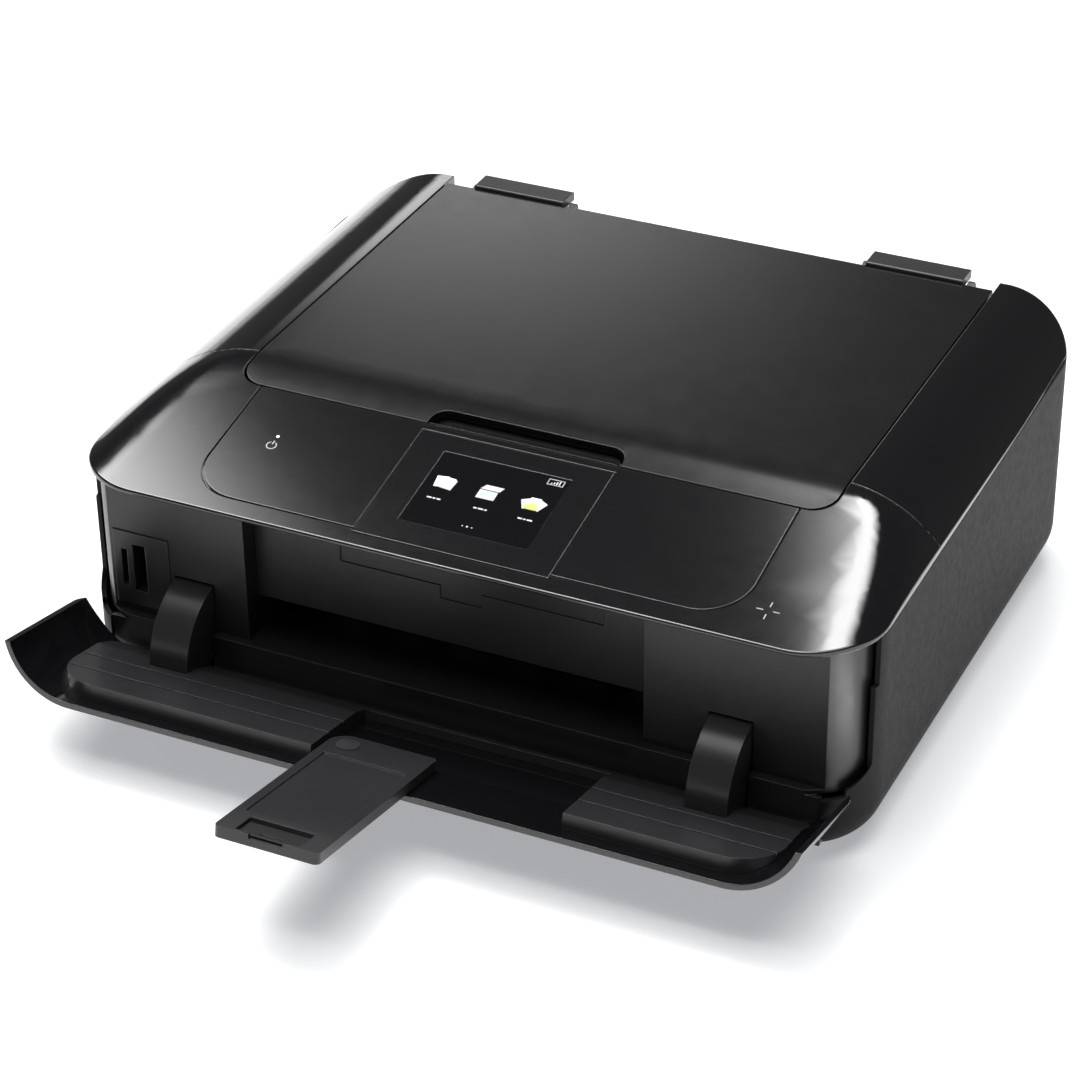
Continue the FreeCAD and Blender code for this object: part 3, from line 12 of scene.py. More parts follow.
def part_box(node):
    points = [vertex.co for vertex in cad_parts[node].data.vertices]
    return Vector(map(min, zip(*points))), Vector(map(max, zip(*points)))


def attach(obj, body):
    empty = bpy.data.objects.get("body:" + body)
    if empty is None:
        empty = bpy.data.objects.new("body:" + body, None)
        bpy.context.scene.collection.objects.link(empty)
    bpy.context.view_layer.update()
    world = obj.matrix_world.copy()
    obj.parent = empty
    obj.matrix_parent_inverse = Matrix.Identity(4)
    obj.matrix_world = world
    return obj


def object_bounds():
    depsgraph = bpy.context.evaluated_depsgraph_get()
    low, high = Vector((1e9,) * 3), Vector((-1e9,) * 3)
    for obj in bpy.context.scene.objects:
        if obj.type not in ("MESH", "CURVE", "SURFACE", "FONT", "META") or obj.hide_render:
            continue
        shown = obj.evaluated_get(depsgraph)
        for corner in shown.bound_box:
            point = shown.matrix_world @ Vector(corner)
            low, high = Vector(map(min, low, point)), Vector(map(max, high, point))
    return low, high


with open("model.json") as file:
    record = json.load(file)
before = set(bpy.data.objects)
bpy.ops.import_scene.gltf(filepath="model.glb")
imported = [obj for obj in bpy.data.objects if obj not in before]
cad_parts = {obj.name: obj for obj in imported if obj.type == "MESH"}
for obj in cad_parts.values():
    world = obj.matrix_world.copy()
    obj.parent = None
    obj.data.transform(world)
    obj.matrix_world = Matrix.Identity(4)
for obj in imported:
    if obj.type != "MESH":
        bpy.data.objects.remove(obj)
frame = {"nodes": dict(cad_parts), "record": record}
CAD_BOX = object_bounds()
CASING_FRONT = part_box("panel_housing")[0].y
NODES = frame["nodes"]
MM = 0.001

# ---------------------------------------------------------------- camera

CAMERA_PLACE = (0.62951, -1.30435, 0.9868)
CAMERA_YAW = math.radians(25.61)
CAMERA_PITCH = math.radians(31.91)
CAMERA_ROLL = math.radians(-0.83)
CAMERA_LENS = 110.95
SENSOR_WIDTH = 36.0
CLIP_START = 0.05
CLIP_END = 60.0


def add_camera():
    """Camera whose place, turn and lens were fitted to the outline in the photograph."""
    yaw, pitch, roll = CAMERA_YAW, CAMERA_PITCH, CAMERA_ROLL
    ahead = Vector((-math.sin(yaw) * math.cos(pitch), math.cos(yaw) * math.cos(pitch),
                    -math.sin(pitch)))
    level = Vector((math.cos(yaw), math.sin(yaw), 0.0))
    above = level.cross(ahead)
    right = math.cos(roll) * level + math.sin(roll) * above
    up = -math.sin(roll) * level + math.cos(roll) * above
    data = bpy.data.cameras.new("camera")
    data.lens = CAMERA_LENS
    data.sensor_width = SENSOR_WIDTH
    data.clip_start = CLIP_START
    data.clip_end = CLIP_END
    camera = bpy.data.objects.new("camera", data)
    bpy.context.scene.collection.objects.link(camera)
    turn = Matrix((right, up, -ahead)).transposed().to_4x4()
    camera.matrix_world = Matrix.Translation(CAMERA_PLACE) @ turn
    bpy.context.scene.camera = camera


# ---------------------------------------------------------------- shader nodes

def add(tree, kind, **values):
    """New shader node; a value goes to the input of that name, or else to the node's setting."""
    made = tree.nodes.new("ShaderNode" + kind)
    for key, value in values.items():
        socket = key.replace("_", " ").title()
        if socket in made.inputs:
            made.inputs[socket].default_value = value
        else:
            setattr(made, key, value)
    return made


def join(tree, source, target, socket):
    """Links a node's first output, or a given output, to a named or numbered input."""
    output = source if isinstance(source, bpy.types.NodeSocket) else source.outputs[0]
    tree.links.new(output, target.inputs[socket])
    return target


def set_inputs(node, values):
    """Sets inputs whose names are not plain title case, or are known only by name."""
    for socket, value in values.items():
        node.inputs[socket].default_value = value


def shader_of(material):
    return material.node_tree.nodes["Principled BSDF"]


def object_place(tree):
    """Place on the object, in metres."""
    return add(tree, "TexCoord").outputs["Object"]


def ramp_between(tree, source, span, out_low=0.0, out_high=1.0):
    """Goes smoothly from out_low to out_high as the source crosses the span."""
    made = add(tree, "MapRange", interpolation_type="SMOOTHSTEP", clamp=True)
    set_inputs(made, {"From Min": span[0], "From Max": span[1],
                      "To Min": out_low, "To Max": out_high})
    return join(tree, source, made, "Value")


def math_node(tree, operation, first, second):
    """Result of an operation on two nodes."""
    made = add(tree, "Math", operation=operation)
    join(tree, first, made, 0)
    return join(tree, second, made, 1)


def dot_product(tree, first, second):
    """Dot product of an output with a fixed vector or another node."""
    made = add(tree, "VectorMath", operation="DOT_PRODUCT")
    join(tree, first, made, 0)
    if isinstance(second, Vector):
        made.inputs[1].default_value = second
    else:
        join(tree, second, made, 1)
    return made.outputs["Value"]


def mix_colours(tree, factor, first, second):
    """Mix of two colours, each given as a plain colour or as a node or output."""
    made = add(tree, "Mix", data_type="RGBA", blend_type="MIX")
    join(tree, factor, made, "Factor")
    for socket, colour in (("A", first), ("B", second)):
        if isinstance(colour, tuple):
            made.inputs[socket].default_value = (*colour, 1.0)
        else:
            join(tree, colour, made, socket)
    return made.outputs["Result"]


# ---------------------------------------------------------------- studio

# Lamps in the sky: azimuth and elevation in degrees, then, in the units of a direction's length,
# half width, half height and how far the light fades out towards smaller azimuths, towards greater
# azimuths, and above and below; strength last.
SKY_LAMPS = [
    (-122.0, 60.0, 0.105, 0.225, 0.085, 0.05, 0.06, 12.0),
    (-160.0, 55.0, 0.035, 0.10, 0.185, 0.069, 0.08, 12.0),
    (-152.5, 24.0, 0.030, 0.010, 0.13, 0.05, 0.066, 3.2),
    (-10.0, 74.0, 0.12, 0.010, 0.10, 0.10, 0.05, 10.0),
]
SAME_SIDE = (0.2, 0.3)      # a lamp lights only directions on its own side of the sky
FADE_OVERLAP = 0.01         # how far a side's fade reaches into the lamp

# The rest of the sky: spans of a direction's height, and how bright each part is.
HORIZON_SPAN, HORIZON_STRENGTH = (0.03, 0.13), 0.90
WALL_SPAN, WALL_STRENGTH = (0.30, 0.60), 0.09
OVERHEAD_SPAN, OVERHEAD_STRENGTH = (0.86, 0.93), 3.6
ROOM_STRENGTH = 0.06

CORNER_LAMP_PLACE = (0.335, -0.115, 0.003)
CORNER_LAMP_SIZE = (0.03, 0.10)
CORNER_LAMP_POWER = 0.12

FLOOR_SIZE = 14.0
FLOOR_CELLS = 8
FLOOR_GAP = 0.2 * MM
FLOOR_GLOW = 0.38


def direction(azimuth, elevation):
    """Unit vector; azimuth 0 points to the front of the object and 90 to its right."""
    a, e = math.radians(azimuth), math.radians(elevation)
    return Vector((math.sin(a) * math.cos(e), -math.cos(a) * math.cos(e), math.sin(e)))


def sky_lamp(tree, ray, lamp):
    """Light of a lamp far away, seen as a rectangle with soft edges in the sky."""
    azimuth, elevation, half_width, half_height, fade_low, fade_high, fade_end, strength = lamp
    centre = direction(azimuth, elevation)
    across = Vector((0, 0, 1)).cross(centre).normalized()
    upward = centre.cross(across)
    facing, side, rise = [dot_product(tree, ray, axis) for axis in (centre, across, upward)]
    edges = [
        ramp_between(tree, side, (-half_width - fade_low, -half_width + FADE_OVERLAP)),
        ramp_between(tree, side, (half_width - FADE_OVERLAP, half_width + fade_high), 1.0, 0.0),
        ramp_between(tree, rise, (-half_height - fade_end, -half_height)),
        ramp_between(tree, rise, (half_height, half_height + fade_end), 1.0, 0.0),
    ]
    light = ramp_between(tree, facing, SAME_SIDE, 0.0, strength)
    for edge in edges:
        light = math_node(tree, "MULTIPLY", light, edge)
    return light


def add_world():
    """Grey room with a bright horizon, a bright overhead and soft rectangular lamps."""
    world = bpy.data.worlds.new("studio")
    bpy.context.scene.world = world
    world.use_nodes = True
    tree = world.node_tree
    tree.nodes.clear()
    ray = add(tree, "TexCoord").outputs["Generated"]
    height = join(tree, ray, add(tree, "SeparateXYZ"), 0).outputs["Z"]
    horizon = ramp_between(tree, height, HORIZON_SPAN, HORIZON_STRENGTH, 0.0)
    wall = ramp_between(tree, height, WALL_SPAN, WALL_STRENGTH, ROOM_STRENGTH)
    overhead = ramp_between(tree, height, OVERHEAD_SPAN, 0.0, OVERHEAD_STRENGTH)
    light = math_node(tree, "ADD", math_node(tree, "ADD", horizon, wall), overhead)
    for lamp in SKY_LAMPS:
        light = math_node(tree, "ADD", light, sky_lamp(tree, ray, lamp))
    colour = add(tree, "CombineColor")
    for channel in ("Red", "Green", "Blue"):
        join(tree, light, colour, channel)
    background = join(tree, colour, add(tree, "Background"), "Color")
    join(tree, background, add(tree, "OutputWorld"), "Surface")


def add_corner_lamp():
    """Soft box lying beside the right front corner, facing up; it lights the corner's edge."""
    data = bpy.data.lights.new("corner_lamp", "AREA")
    data.shape = "RECTANGLE"
    data.size, data.size_y = CORNER_LAMP_SIZE
    data.energy = CORNER_LAMP_POWER
    lamp = bpy.data.objects.new("corner_lamp", data)
    lamp.location = CORNER_LAMP_PLACE
    lamp.rotation_euler = (math.pi, 0.0, 0.0)
    lamp.visible_camera = False
    bpy.context.scene.collection.objects.link(lamp)


def add_floor(material):
    """Studio floor just below the feet; it is not part of the object."""
    shape = bmesh.new()
    bmesh.ops.create_grid(shape, x_segments=FLOOR_CELLS, y_segments=FLOOR_CELLS,
                          size=FLOOR_SIZE / 2)
    data = bpy.data.meshes.new("floor")
    shape.to_mesh(data)
    shape.free()
    floor = bpy.data.objects.new("floor", data)
    floor.location.z = CAD_BOX[0].z - FLOOR_GAP
    bpy.context.scene.collection.objects.link(floor)
    data.materials.append(material)


# ---------------------------------------------------------------- materials

COAT_ROUGHNESS = 0.03
STREAKS_PER_BLOTCH = 7          # gloss changes this many times finer than tint
GLOSS_SPREAD = 0.08
NOISE_CORE = (0.3, 0.7)         # the range that most of a noise stays in

WEAR_RADIUS = 0.7 * MM
WEAR_SPAN = (0.80, 0.99)        # dot product of the rounded and the true normal
WEAR_GAIN, WEAR_LIFT = 2.5, 0.03

BRUSH_LINES = 900.0             # per metre, across the brushing
BRUSH_STRETCH = 0.02            # share of that along the brushing
BRUSH_DEPTH = 0.05 * MM

PIXELS_PER_METRE = 9000.0
DIM_PIXEL = 0.9

# Bands from the left end of the row of tanks to its right end.
TANK_TINTS = [(0.02, 0.02, 0.02), (0.35, 0.27, 0.02), (0.0, 0.18, 0.3), (0.32, 0.01, 0.12),
              (0.02, 0.02, 0.02), (0.12, 0.12, 0.13)]
TANK_BODY = (0.02, 0.02, 0.022)
TANK_TOP_START, TANK_TOP_END = 0.022, 0.018    # where the coloured top starts, below the top


def scaled(colour, factor):
    return tuple(channel * factor for channel in colour)


def surface(name, colour, rough, vary=0.25, blotch=30.0, grain=0.0, depth=0.0, shine=0.5,
            metal=0.0, coat=0.0, edge=0.0, curve=0.0):
    """Moulded or rolled material: uneven tint and gloss, fine grain, worn and rounded edges.

    vary is the share by which the tint changes. blotch is the scale of that change and grain the
    grain's, both per metre. depth is the grain's height in metres, edge is how much edges lighten,
    and curve is the radius in metres with which edges catch the light."""
    made = bpy.data.materials.new(name)
    made.use_nodes = True
    tree, shader = made.node_tree, shader_of(made)
    set_inputs(shader, {"Metallic": metal, "Specular IOR Level": shine,
                        "Coat Weight": coat, "Coat Roughness": COAT_ROUGHNESS})
    place = object_place(tree)
    cloud = add(tree, "TexNoise", scale=blotch, detail=4.0, roughness=0.6)
    join(tree, place, cloud, "Vector")
    tint = mix_colours(tree, cloud, scaled(colour, 1 - vary), scaled(colour, 1 + vary))
    if edge:
        tint = worn_edges(tree, tint, colour, edge)
    join(tree, tint, shader, "Base Color")
    streak = add(tree, "TexNoise", scale=blotch * STREAKS_PER_BLOTCH, detail=6.0, roughness=0.7)
    join(tree, place, streak, "Vector")
    gloss = ramp_between(tree, streak, NOISE_CORE,
                         rough * (1 - GLOSS_SPREAD), rough * (1 + GLOSS_SPREAD))
    join(tree, gloss, shader, "Roughness")
    normal = None
    if curve:
        normal = add(tree, "Bevel", samples=6, radius=curve)
        join(tree, normal, shader, "Coat Normal")
    if grain:
        pits = join(tree, place, add(tree, "TexVoronoi", scale=grain, randomness=1.0), "Vector")
        bump = join(tree, pits, add(tree, "Bump", strength=0.6, distance=depth), "Height")
        if normal:
            join(tree, normal, bump, "Normal")
        normal = bump
    if normal:
        join(tree, normal, shader, "Normal")
    return made


def worn_edges(tree, tint, colour, amount):
    """Mixes in a lighter tint where a rounded normal leaves the true one, which is at edges."""
    rounded = add(tree, "Bevel", samples=4, radius=WEAR_RADIUS)
    true = add(tree, "NewGeometry").outputs["Normal"]
    mask = ramp_between(tree, dot_product(tree, rounded, true), WEAR_SPAN, amount, 0.0)
    worn = tuple(min(1.0, channel * WEAR_GAIN + WEAR_LIFT) for channel in colour)
    return mix_colours(tree, mask, tint, worn)


def brushed_metal(name, colour, rough):
    """Metal with fine scratches along x."""
    made = surface(name, colour, rough, vary=0.15, blotch=25.0, metal=1.0)
    tree = made.node_tree
    stretch = join(tree, object_place(tree), add(tree, "Mapping"), "Vector")
    set_inputs(stretch, {"Scale": (BRUSH_LINES * BRUSH_STRETCH, BRUSH_LINES, BRUSH_LINES)})
    scratch = join(tree, stretch, add(tree, "TexNoise", scale=1.0, detail=3.0), "Vector")
    bump = join(tree, scratch, add(tree, "Bump", strength=0.25, distance=BRUSH_DEPTH), "Height")
    join(tree, bump, shader_of(made), "Normal")
    return made


def clear_glass(name):
    made = surface(name, (0.86, 0.93, 0.91), 0.02, vary=0.1)
    set_inputs(shader_of(made), {"Transmission Weight": 0.92, "IOR": 1.52})
    return made


def glowing(name, colour, strength):
    """Lit part of a screen or a lamp, with a faint pixel grid in its brightness."""
    made = surface(name, colour, 0.3, vary=0.08, blotch=200.0)
    tree, shader = made.node_tree, shader_of(made)
    grid = add(tree, "TexChecker", scale=PIXELS_PER_METRE)
    join(tree, object_place(tree), grid, "Vector")
    set_inputs(grid, {"Color1": (*colour, 1.0), "Color2": (*scaled(colour, DIM_PIXEL), 1.0)})
    join(tree, grid, shader, "Emission Color")
    set_inputs(shader, {"Emission Strength": strength})
    return made


def studio_floor():
    """Matt white board that glows a little, so that shadows on it stay pale."""
    made = surface("studio_floor", (0.80, 0.80, 0.80), 0.8, vary=0.012, blotch=2.0, shine=0.1)
    set_inputs(shader_of(made), {"Emission Color": (0.95, 0.96, 1.0, 1.0),
                                 "Emission Strength": FLOOR_GLOW})
    return made


def tank_colours(name):
    """Dark ink tanks, each with its own band of colour along the row of tanks."""
    made = surface(name, (0.03, 0.03, 0.035), 0.18, vary=0.2, coat=0.4)
    tree = made.node_tree
    low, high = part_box("ink_tanks")
    spot = join(tree, object_place(tree), add(tree, "SeparateXYZ"), 0)
    share = join(tree, spot.outputs["X"], add(tree, "MapRange"), "Value")
    set_inputs(share, {"From Min": low.x, "From Max": high.x})
    bands = add(tree, "ValToRGB")
    ramp = bands.color_ramp
    ramp.interpolation = "CONSTANT"
    for number, tint in enumerate(TANK_TINTS):
        if number >= len(ramp.elements):
            ramp.elements.new(number / len(TANK_TINTS))
        stop = ramp.elements[number]
        stop.position = number / len(TANK_TINTS)
        stop.color = (*tint, 1.0)
    join(tree, share, bands, "Fac")
    top = ramp_between(tree, spot.outputs["Z"], (high.z - TANK_TOP_START, high.z - TANK_TOP_END))
    join(tree, mix_colours(tree, top, TANK_BODY, bands), shader_of(made), "Base Color")
    return made


BLACK = (0.011, 0.011, 0.012)
DARK_GREY = (0.022, 0.022, 0.024)
MATERIALS = {
    "black_plastic": surface("moulded_black", BLACK, 0.34, grain=2600.0, depth=0.01 * MM,
                             edge=0.35, curve=0.6 * MM),
    "lid_black": surface("satin_lid_black", (0.007, 0.007, 0.008), 0.17, vary=0.12, blotch=12.0,
                         grain=3200.0, depth=0.003 * MM, curve=0.7 * MM),
    "side_black": surface("grained_side_black", BLACK, 0.55, vary=0.08, grain=1800.0,
                          depth=0.006 * MM, shine=0.10, edge=0.3, curve=0.6 * MM),
    "gloss_black": surface("piano_black", (0.005, 0.005, 0.006), 0.10, vary=0.15, blotch=18.0,
                           coat=0.6, curve=0.7 * MM),
    "tray_black": surface("satin_tray_black", DARK_GREY, 0.30, vary=0.15, blotch=20.0,
                          grain=2200.0, depth=0.01 * MM, edge=0.4, curve=0.6 * MM),
    "dark_plastic": surface("dark_moulding", DARK_GREY, 0.5, grain=1500.0, depth=0.04 * MM,
                            edge=0.3),
    "inner_plastic": surface("engineering_grey", (0.07, 0.07, 0.075), 0.45, grain=1200.0,
                             depth=0.03 * MM, edge=0.25),
    "white_plastic": surface("natural_acetal", (0.68, 0.67, 0.62), 0.35, vary=0.06, grain=900.0,
                             depth=0.02 * MM),
    "foam": surface("white_foam", (0.80, 0.80, 0.78), 0.9, vary=0.04, grain=1400.0,
                    depth=0.15 * MM),
    "rubber": surface("black_rubber", (0.018, 0.018, 0.018), 0.75, grain=1600.0,
                      depth=0.06 * MM),
    "steel": brushed_metal("zinc_steel", (0.52, 0.53, 0.55), 0.3),
    "screw_steel": brushed_metal("black_steel", (0.10, 0.10, 0.11), 0.35),
    "glass": clear_glass("scan_glass_clear"),
    "screen": surface("dark_screen_glass", (0.003, 0.003, 0.004), 0.05, vary=0.1, coat=1.0),
    "board": surface("solder_mask", (0.012, 0.10, 0.035), 0.3, vary=0.3, blotch=250.0, coat=0.3),
    "belt": surface("toothed_belt", (0.015, 0.015, 0.015), 0.8, grain=700.0, depth=0.2 * MM),
    "tank": tank_colours("ink_tank_plastic"),
}
FINISH_OF_NODE = {
    "lid_shell": "lid_black",
    "tray_liner": "tray_black",
    "tray_hinge_arms": "tray_black",
    "tray_arm": "tray_black",
    "shoulder_left": "gloss_black",
    "shoulder_right": "gloss_black",
    "side_cover_left": "side_black",
    "side_cover_right": "side_black",
}


def dress_cad_nodes():
    """Gives each CAD node its finish: its own, or else that of its material slot in the record."""
    slots = {part["node"]: part["material_slot"] for part in frame["record"]["subparts"]}
    for name, thing in NODES.items():
        finish = MATERIALS[FINISH_OF_NODE.get(name, slots[name])]
        if not thing.data.materials:
            thing.data.materials.append(finish)
        for place in range(len(thing.material_slots)):
            thing.material_slots[place].material = finish


# ---------------------------------------------------------------- outlines

def panel_place(x_mm, from_front_mm):
    """Place seen from above, given from the object's middle and from the front of the casing."""
    return x_mm * MM, CASING_FRONT + from_front_mm * MM


def turned(place, turn, outline):
    """Outline given in millimetres about a place, turned by some degrees."""
    x, y = place
    c, s = math.cos(math.radians(turn)), math.sin(math.radians(turn))
    return [(x + (u * c - v * s) * MM, y + (u * s + v * c) * MM) for u, v in outline]


def card(u, v, width, height):
    """Rectangle about (u, v)."""
    return [(u - width / 2, v - height / 2), (u + width / 2, v - height / 2),
            (u + width / 2, v + height / 2), (u - width / 2, v + height / 2)]


def arc_points(u, v, radius, start, end, count):
    """Points along an arc, from a start to an end angle in degrees."""
    turns = [math.radians(start + (end - start) * i / count) for i in range(count + 1)]
    return [(u + radius * math.cos(t), v + radius * math.sin(t)) for t in turns]


def band(radius, width, start, end, count):
    """Outline of an arc-shaped stroke."""
    outer = arc_points(0, 0, radius + width / 2, start, end, count)
    inner = arc_points(0, 0, radius - width / 2, end, start, count)
    return outer + inner


# ---------------------------------------------------------------- pieces

ABOVE_ALL = 0.5                 # height in metres that rays are dropped from
PRINT_HEIGHT = 0.10 * MM


def new_piece(name, shape, body, material):
    """Makes an object of the shape; it rides on a body."""
    data = bpy.data.meshes.new(name)
    bmesh.ops.recalc_face_normals(shape, faces=shape.faces)
    shape.to_mesh(data)
    shape.free()
    data.materials.append(material)
    piece = bpy.data.objects.new(name, data)
    bpy.context.scene.collection.objects.link(piece)
    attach(piece, body)


def tree_of(*names):
    """One search tree over the shown faces of some CAD nodes."""
    corners, faces = [], []
    for name in names:
        data = NODES[name].data
        base = len(corners)
        corners.extend(v.co.copy() for v in data.vertices)
        faces.extend([base + i for i in p.vertices] for p in data.polygons)
    return BVHTree.FromPolygons(corners, faces)


def drop(tree, x, y):
    """Point of the top surface under (x, y)."""
    return tree.ray_cast(Vector((x, y, ABOVE_ALL)), Vector((0, 0, -1)))[0]


def printed(shape, tree, outline, height):
    """Adds a thin patch to the shape, which lies on the surface; the outline goes round it."""
    top, foot = [], []
    for x, y in outline:
        spot = drop(tree, x, y)
        top.append(shape.verts.new(spot + Vector((0, 0, height))))
        foot.append(shape.verts.new(spot - Vector((0, 0, height))))
    shape.faces.new(top)
    shape.faces.new(foot[::-1])
    for i in range(len(top)):
        j = (i + 1) % len(top)
        shape.faces.new((top[i], foot[i], foot[j], top[j]))


def print_strokes(name, tree, strokes, body, material, height=PRINT_HEIGHT):
    """One piece made of thin patches printed on a surface."""
    shape = bmesh.new()
    for outline in strokes:
        printed(shape, tree, outline, height)
    new_piece(name, shape, body, material)


def blocks(name, boxes, body, material, round_off=0.2):
    """One piece made of small boxes with eased edges.

    Limits are x, from-front and z ranges in millimetres, and so is the width of the easing."""
    shape = bmesh.new()
    for x0, x1, y0, y1, z0, z1 in boxes:
        for corner in bmesh.ops.create_cube(shape, size=1.0)["verts"]:
            corner.co.x = (x0 + (corner.co.x + 0.5) * (x1 - x0)) * MM
            corner.co.y = CASING_FRONT + (y0 + (corner.co.y + 0.5) * (y1 - y0)) * MM
            corner.co.z = (z0 + (corner.co.z + 0.5) * (z1 - z0)) * MM
    bmesh.ops.bevel(shape, geom=shape.edges[:], offset=round_off * MM, segments=2, profile=0.5,
                    affect="EDGES", clamp_overlap=True)
    new_piece(name, shape, body, material)


# ---------------------------------------------------------------- marks on the panel

POWER_PLACE = (-122.8, 53.6)
POWER_LAMP_PLACE = (-122.8, 60.6)
TOUCH_MARK_PLACE = (162.4, 22.4)
STROKE = 0.45                   # width of the panel's printed lines, in millimetres


def add_panel_marks():
    """Power symbol, its lamp, and four dashes round the place that is touched with a device."""
    white = surface("printed_white", (0.62, 0.63, 0.64), 0.4, vary=0.06, blotch=400.0)
    lamp = glowing("lamp_white", (0.95, 0.97, 1.0), 2.5)
    panel = tree_of("touch_panel", "panel_housing")
    power = [band(2.6, STROKE, 118.0, 422.0, 36), card(0, 2.2, STROKE, 2.8)]
    dot = arc_points(0, 0, 0.75, 0.0, 345.0, 23)
    dashes = [(turn, card(4.2, 0, 3.4, STROKE)) for turn in (0, 90, 180, 270)]
    for name, place, strokes, material in (
            ("power_symbol", POWER_PLACE, [(0, line) for line in power], white),
            ("power_lamp", POWER_LAMP_PLACE, [(0, dot)], lamp),
            ("touch_mark", TOUCH_MARK_PLACE, dashes, white)):
        outlines = [turned(panel_place(*place), turn, stroke) for turn, stroke in strokes]
        print_strokes(name, panel, outlines, "scanner_unit", material)


# ---------------------------------------------------------------- screen

LAYER = 0.05 * MM               # height of each layer of print on the screen
COPIES_PLACE = (-25.0, 56.0)
SCANNER_PLACE = (-0.4, 56.0)
FAN_PLACE = (24.2, 55.6)
BADGE_PLACE = (28.6, 73.0)
CAPTION_LINE, CAPTION_HEIGHT, WORD_GAP = 43.8, 0.9, 0.7
CAPTIONS = [(-25.2, (2.6, 1.4, 2.2)), (0.4, (1.8, 2.8, 1.2)), (25.0, (2.4, 1.2, 2.9))]
DOT_LINE, DOT_STEP = 30.0, 2.6
COPIES_TURN = 8                 # turn of the front sheet and of its lines, in degrees
FAN_CARDS = [(-26, -3.0, -0.8), (0, 0.2, 0.6), (26, 3.2, -0.6)]
CLOUD_LOBES = [(2.6, -3.2, 1.5, -90, 70), (0.2, -2.0, 2.2, 30, 150), (-2.5, -3.2, 1.5, 110, 270)]
CLOUD_POINTS = 8


def add_screen():
    """Three generic function icons, their captions as bars, a status badge and page dots."""
    paper = glowing("icon_paper", (0.80, 0.82, 0.80), 0.75)
    shade = glowing("icon_shade", (0.40, 0.42, 0.42), 0.7)
    ink = glowing("icon_ink", (0.16, 0.17, 0.18), 0.6)
    blue = glowing("icon_blue", (0.36, 0.55, 0.68), 0.7)
    leaf = glowing("icon_green", (0.42, 0.50, 0.10), 0.7)
    grey = glowing("caption_grey", (0.50, 0.51, 0.53), 0.7)
    glass = tree_of("display_panel", "lcd_module")

    def draw(name, place, turn, shapes, material, layer=1):
        outlines = [turned(panel_place(*place), turn, shape) for shape in shapes]
        print_strokes(name, glass, outlines, "display", material, layer * LAYER)

    at = COPIES_PLACE
    lines = [card(-1.8, 2.6 - 1.4 * i, 4.2 if i < 3 else 2.6, 0.35) for i in range(4)]
    draw("copies_back", at, -6, [card(2.4, -0.4, 6.6, 7.4)], shade)
    draw("copies_middle", at, -2, [card(1.6, 0.2, 6.4, 7.2)], paper, 2)
    draw("copies_edge", at, COPIES_TURN, [card(-1.7, 0.3, 6.7, 7.7)], shade, 3)
    draw("copies_front", at, COPIES_TURN, [card(-1.8, 0.4, 6.2, 7.2)], paper, 4)
    draw("copies_lines", at, COPIES_TURN, lines, ink, 5)

    at = SCANNER_PLACE
    lid = [(-5.6, 1.6), (5.0, 1.6), (6.4, 5.0), (-3.6, 5.0)]
    lid_pad = [(-4.6, 2.2), (4.6, 2.2), (5.5, 4.4), (-3.2, 4.4)]
    draw("scanner_lid", at, 0, [lid], shade)
    draw("scanner_lid_pad", at, 0, [lid_pad], paper, 2)
    draw("scanner_body", at, 0, [card(-0.4, -2.0, 10.0, 6.0)], shade)
    draw("scanner_rim", at, 0, [card(-0.4, -1.7, 8.8, 4.9)], paper, 2)
    draw("scanner_bed", at, 0, [card(-0.4, -1.6, 7.4, 3.7)], blue, 3)

    for number, (turn, u, v) in enumerate(FAN_CARDS):
        at = (FAN_PLACE[0] + u, FAN_PLACE[1] + v)
        draw("fan_edge_%d" % number, at, -turn, [card(0, 0, 5.8, 6.8)], shade, 1 + number)
        draw("fan_card_%d" % number, at, -turn, [card(0, 0, 5.3, 6.3)], paper, 2 + number)
    cloud = [point for lobe in CLOUD_LOBES for point in arc_points(*lobe, CLOUD_POINTS)]
    draw("fan_cloud", FAN_PLACE, 0, [cloud], leaf, 6)

    captions = []
    for middle, widths in CAPTIONS:
        across = middle - sum(widths) / 2 - WORD_GAP
        for width in widths:
            captions.append(card(across + width / 2, CAPTION_LINE, width, CAPTION_HEIGHT))
            across += width + WORD_GAP
    draw("captions", (0, 0), 0, captions, grey)
    dots = [arc_points(step * DOT_STEP, DOT_LINE, 0.35 if step else 0.55, 0.0, 330.0, 11)
            for step in (-1, 0, 1)]
    draw("page_dots", (0, 0), 0, dots, grey)
    rim = [card(0, 1.9, 8.6, 0.3), card(0, -1.9, 8.6, 0.3),
           card(-4.2, 0, 0.3, 3.6), card(4.2, 0, 0.3, 3.6)]
    bars = [card((i - 1.5) * 1.4, (i - 3) * 0.3, 0.7, 0.8 + 0.6 * i) for i in range(4)]
    draw("signal_badge", BADGE_PLACE, 0, rim + bars, grey)


# ---------------------------------------------------------------- details inside and behind

SCAN_STRIP_SPAN = (112.0, 322.0)
RULE_START, RULE_LINE, RULE_STEP, RULE_TICKS = -150.0, 104.4, 10.0, 31
CORNER_ARROW_PLACE = (-161.0, 106.0)
CAP_PAD_STARTS, CAP_PAD_WIDTH = (100.0, 116.0, 132.0, 148.0, 164.0), 11.0
BOARD_PROBE = 0.02              # metres in from the board's corner, clear of its own parts
CHIPS = ((16, 12, 14, 14), (40, 14, 9, 12), (18, 40, 20, 20), (46, 44, 8, 16))
PLATE_ROWS = ((46.0, 112.0), (34.0, 109.0), (50.0, 106.0), (22.0, 103.0))


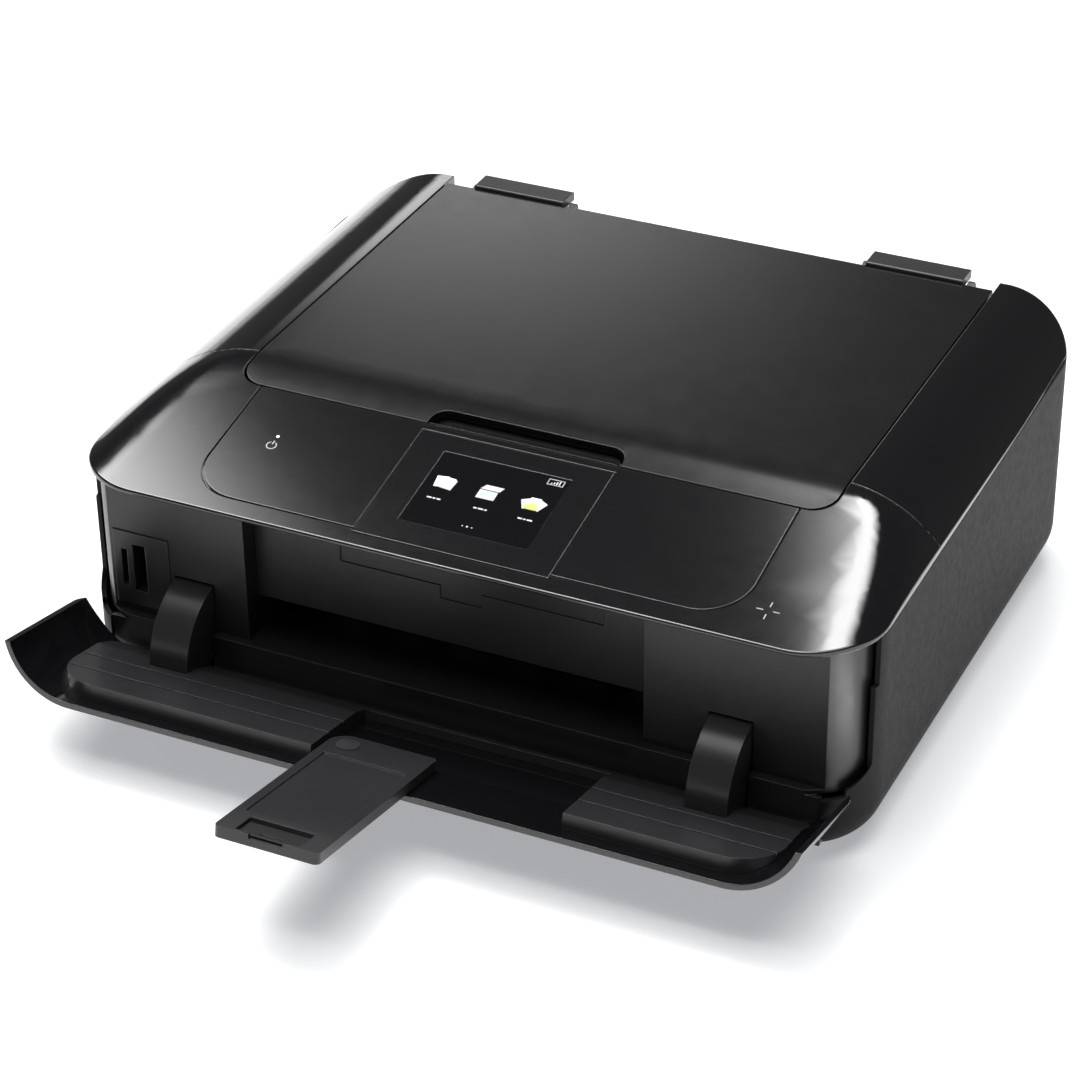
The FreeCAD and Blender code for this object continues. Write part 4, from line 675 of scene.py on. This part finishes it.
def add_scanner_details():
    """Lamp, lens window and paper-corner marks that show under the open lid."""
    lamp = glowing("lamp_strip", (0.82, 0.86, 0.90), 0.5)
    lens = surface("lens_glass", (0.01, 0.02, 0.03), 0.05, vary=0.2, coat=1.0)
    white = surface("deck_print", (0.55, 0.56, 0.57), 0.45, vary=0.08, blotch=350.0)
    blocks("scan_lamp", [(-181.0, -177.6, *SCAN_STRIP_SPAN, 122.7, 124.6)],
           "scan_bar", lamp)
    blocks("scan_lens", [(-176.6, -171.0, *SCAN_STRIP_SPAN, 122.7, 123.9)],
           "scan_bar", lens)
    deck = tree_of("scanner_frame")
    ticks = [turned(panel_place(RULE_START + RULE_STEP * step, RULE_LINE), 0,
                    card(0, 0, 0.4, 1.8 if step % 5 else 3.2)) for step in range(RULE_TICKS)]
    arrow = [(-3.0, -2.2), (2.4, -2.2), (2.4, -3.6), (4.4, -1.2), (2.4, 1.2), (2.4, -0.2),
             (-3.0, -0.2)]
    corner = [turned(panel_place(*CORNER_ARROW_PLACE), 45, arrow)]
    print_strokes("size_marks", deck, ticks, "scanner_unit", white)
    print_strokes("corner_arrow", deck, corner, "scanner_unit", white)


def add_engine_details():
    """Parts seen when the upper unit is raised: cap pads, and chips with legs on the board."""
    pads = [(x, x + CAP_PAD_WIDTH, 94.0, 126.0, 57.0, 58.2) for x in CAP_PAD_STARTS]
    blocks("cap_pads", pads, "chassis", MATERIALS["rubber"], 0.4)
    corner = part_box("main_board")[0]
    x0, y0 = corner.x / MM, (corner.y - CASING_FRONT) / MM
    board = tree_of("main_board")
    top = drop(board, corner.x + BOARD_PROBE, corner.y + BOARD_PROBE).z / MM
    epoxy = surface("chip_epoxy", (0.02, 0.02, 0.022), 0.4, vary=0.2, blotch=300.0, edge=0.4)
    chips = [(x0 + u, x0 + u + w, y0 + v, y0 + v + h, top - 0.1, top + 1.4)
             for u, v, w, h in CHIPS]
    blocks("board_chips", chips, "chassis", epoxy)
    pins = [(x0 + 16.5 + i * 1.3, x0 + 17.0 + i * 1.3, y0 + v, y0 + v + 1.4, top - 0.05, top + 0.25)
            for i in range(10) for v in (10.7, 25.9)]
    blocks("chip_legs", pins, "chassis", MATERIALS["steel"], 0.05)


def add_rear_details():
    """Rating plate with plain bars on the back, and the contacts inside the network socket."""
    foil = surface("plate_foil", (0.30, 0.30, 0.31), 0.45, vary=0.06, blotch=120.0)
    rear = (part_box("rear_cover")[1].y - CASING_FRONT) / MM
    blocks("rating_plate", [(24.0, 84.0, rear - 0.05, rear + 0.12, 98.0, 116.0)], "chassis",
           foil, 0.05)
    grey = surface("plate_print", (0.05, 0.05, 0.055), 0.5, vary=0.1, blotch=300.0)
    rows = [(28.0, 28.0 + width, rear + 0.08, rear + 0.16, z, z + 1.0) for width, z in PLATE_ROWS]
    blocks("plate_rows", rows, "chassis", grey, 0.02)
    gold = brushed_metal("gold_contact", (0.72, 0.50, 0.18), 0.25)
    contacts = [(150.4 + i * 1.1, 150.9 + i * 1.1, 342.5, 349.0, 49.7, 50.2) for i in range(8)]
    blocks("socket_contacts", contacts, "chassis", gold, 0.05)


# ---------------------------------------------------------------- scene

add_camera()
add_world()
add_corner_lamp()
add_floor(studio_floor())
dress_cad_nodes()
add_panel_marks()
add_screen()
add_scanner_details()
add_engine_details()
add_rear_details()

bpy.context.scene.view_settings.view_transform = "Standard"
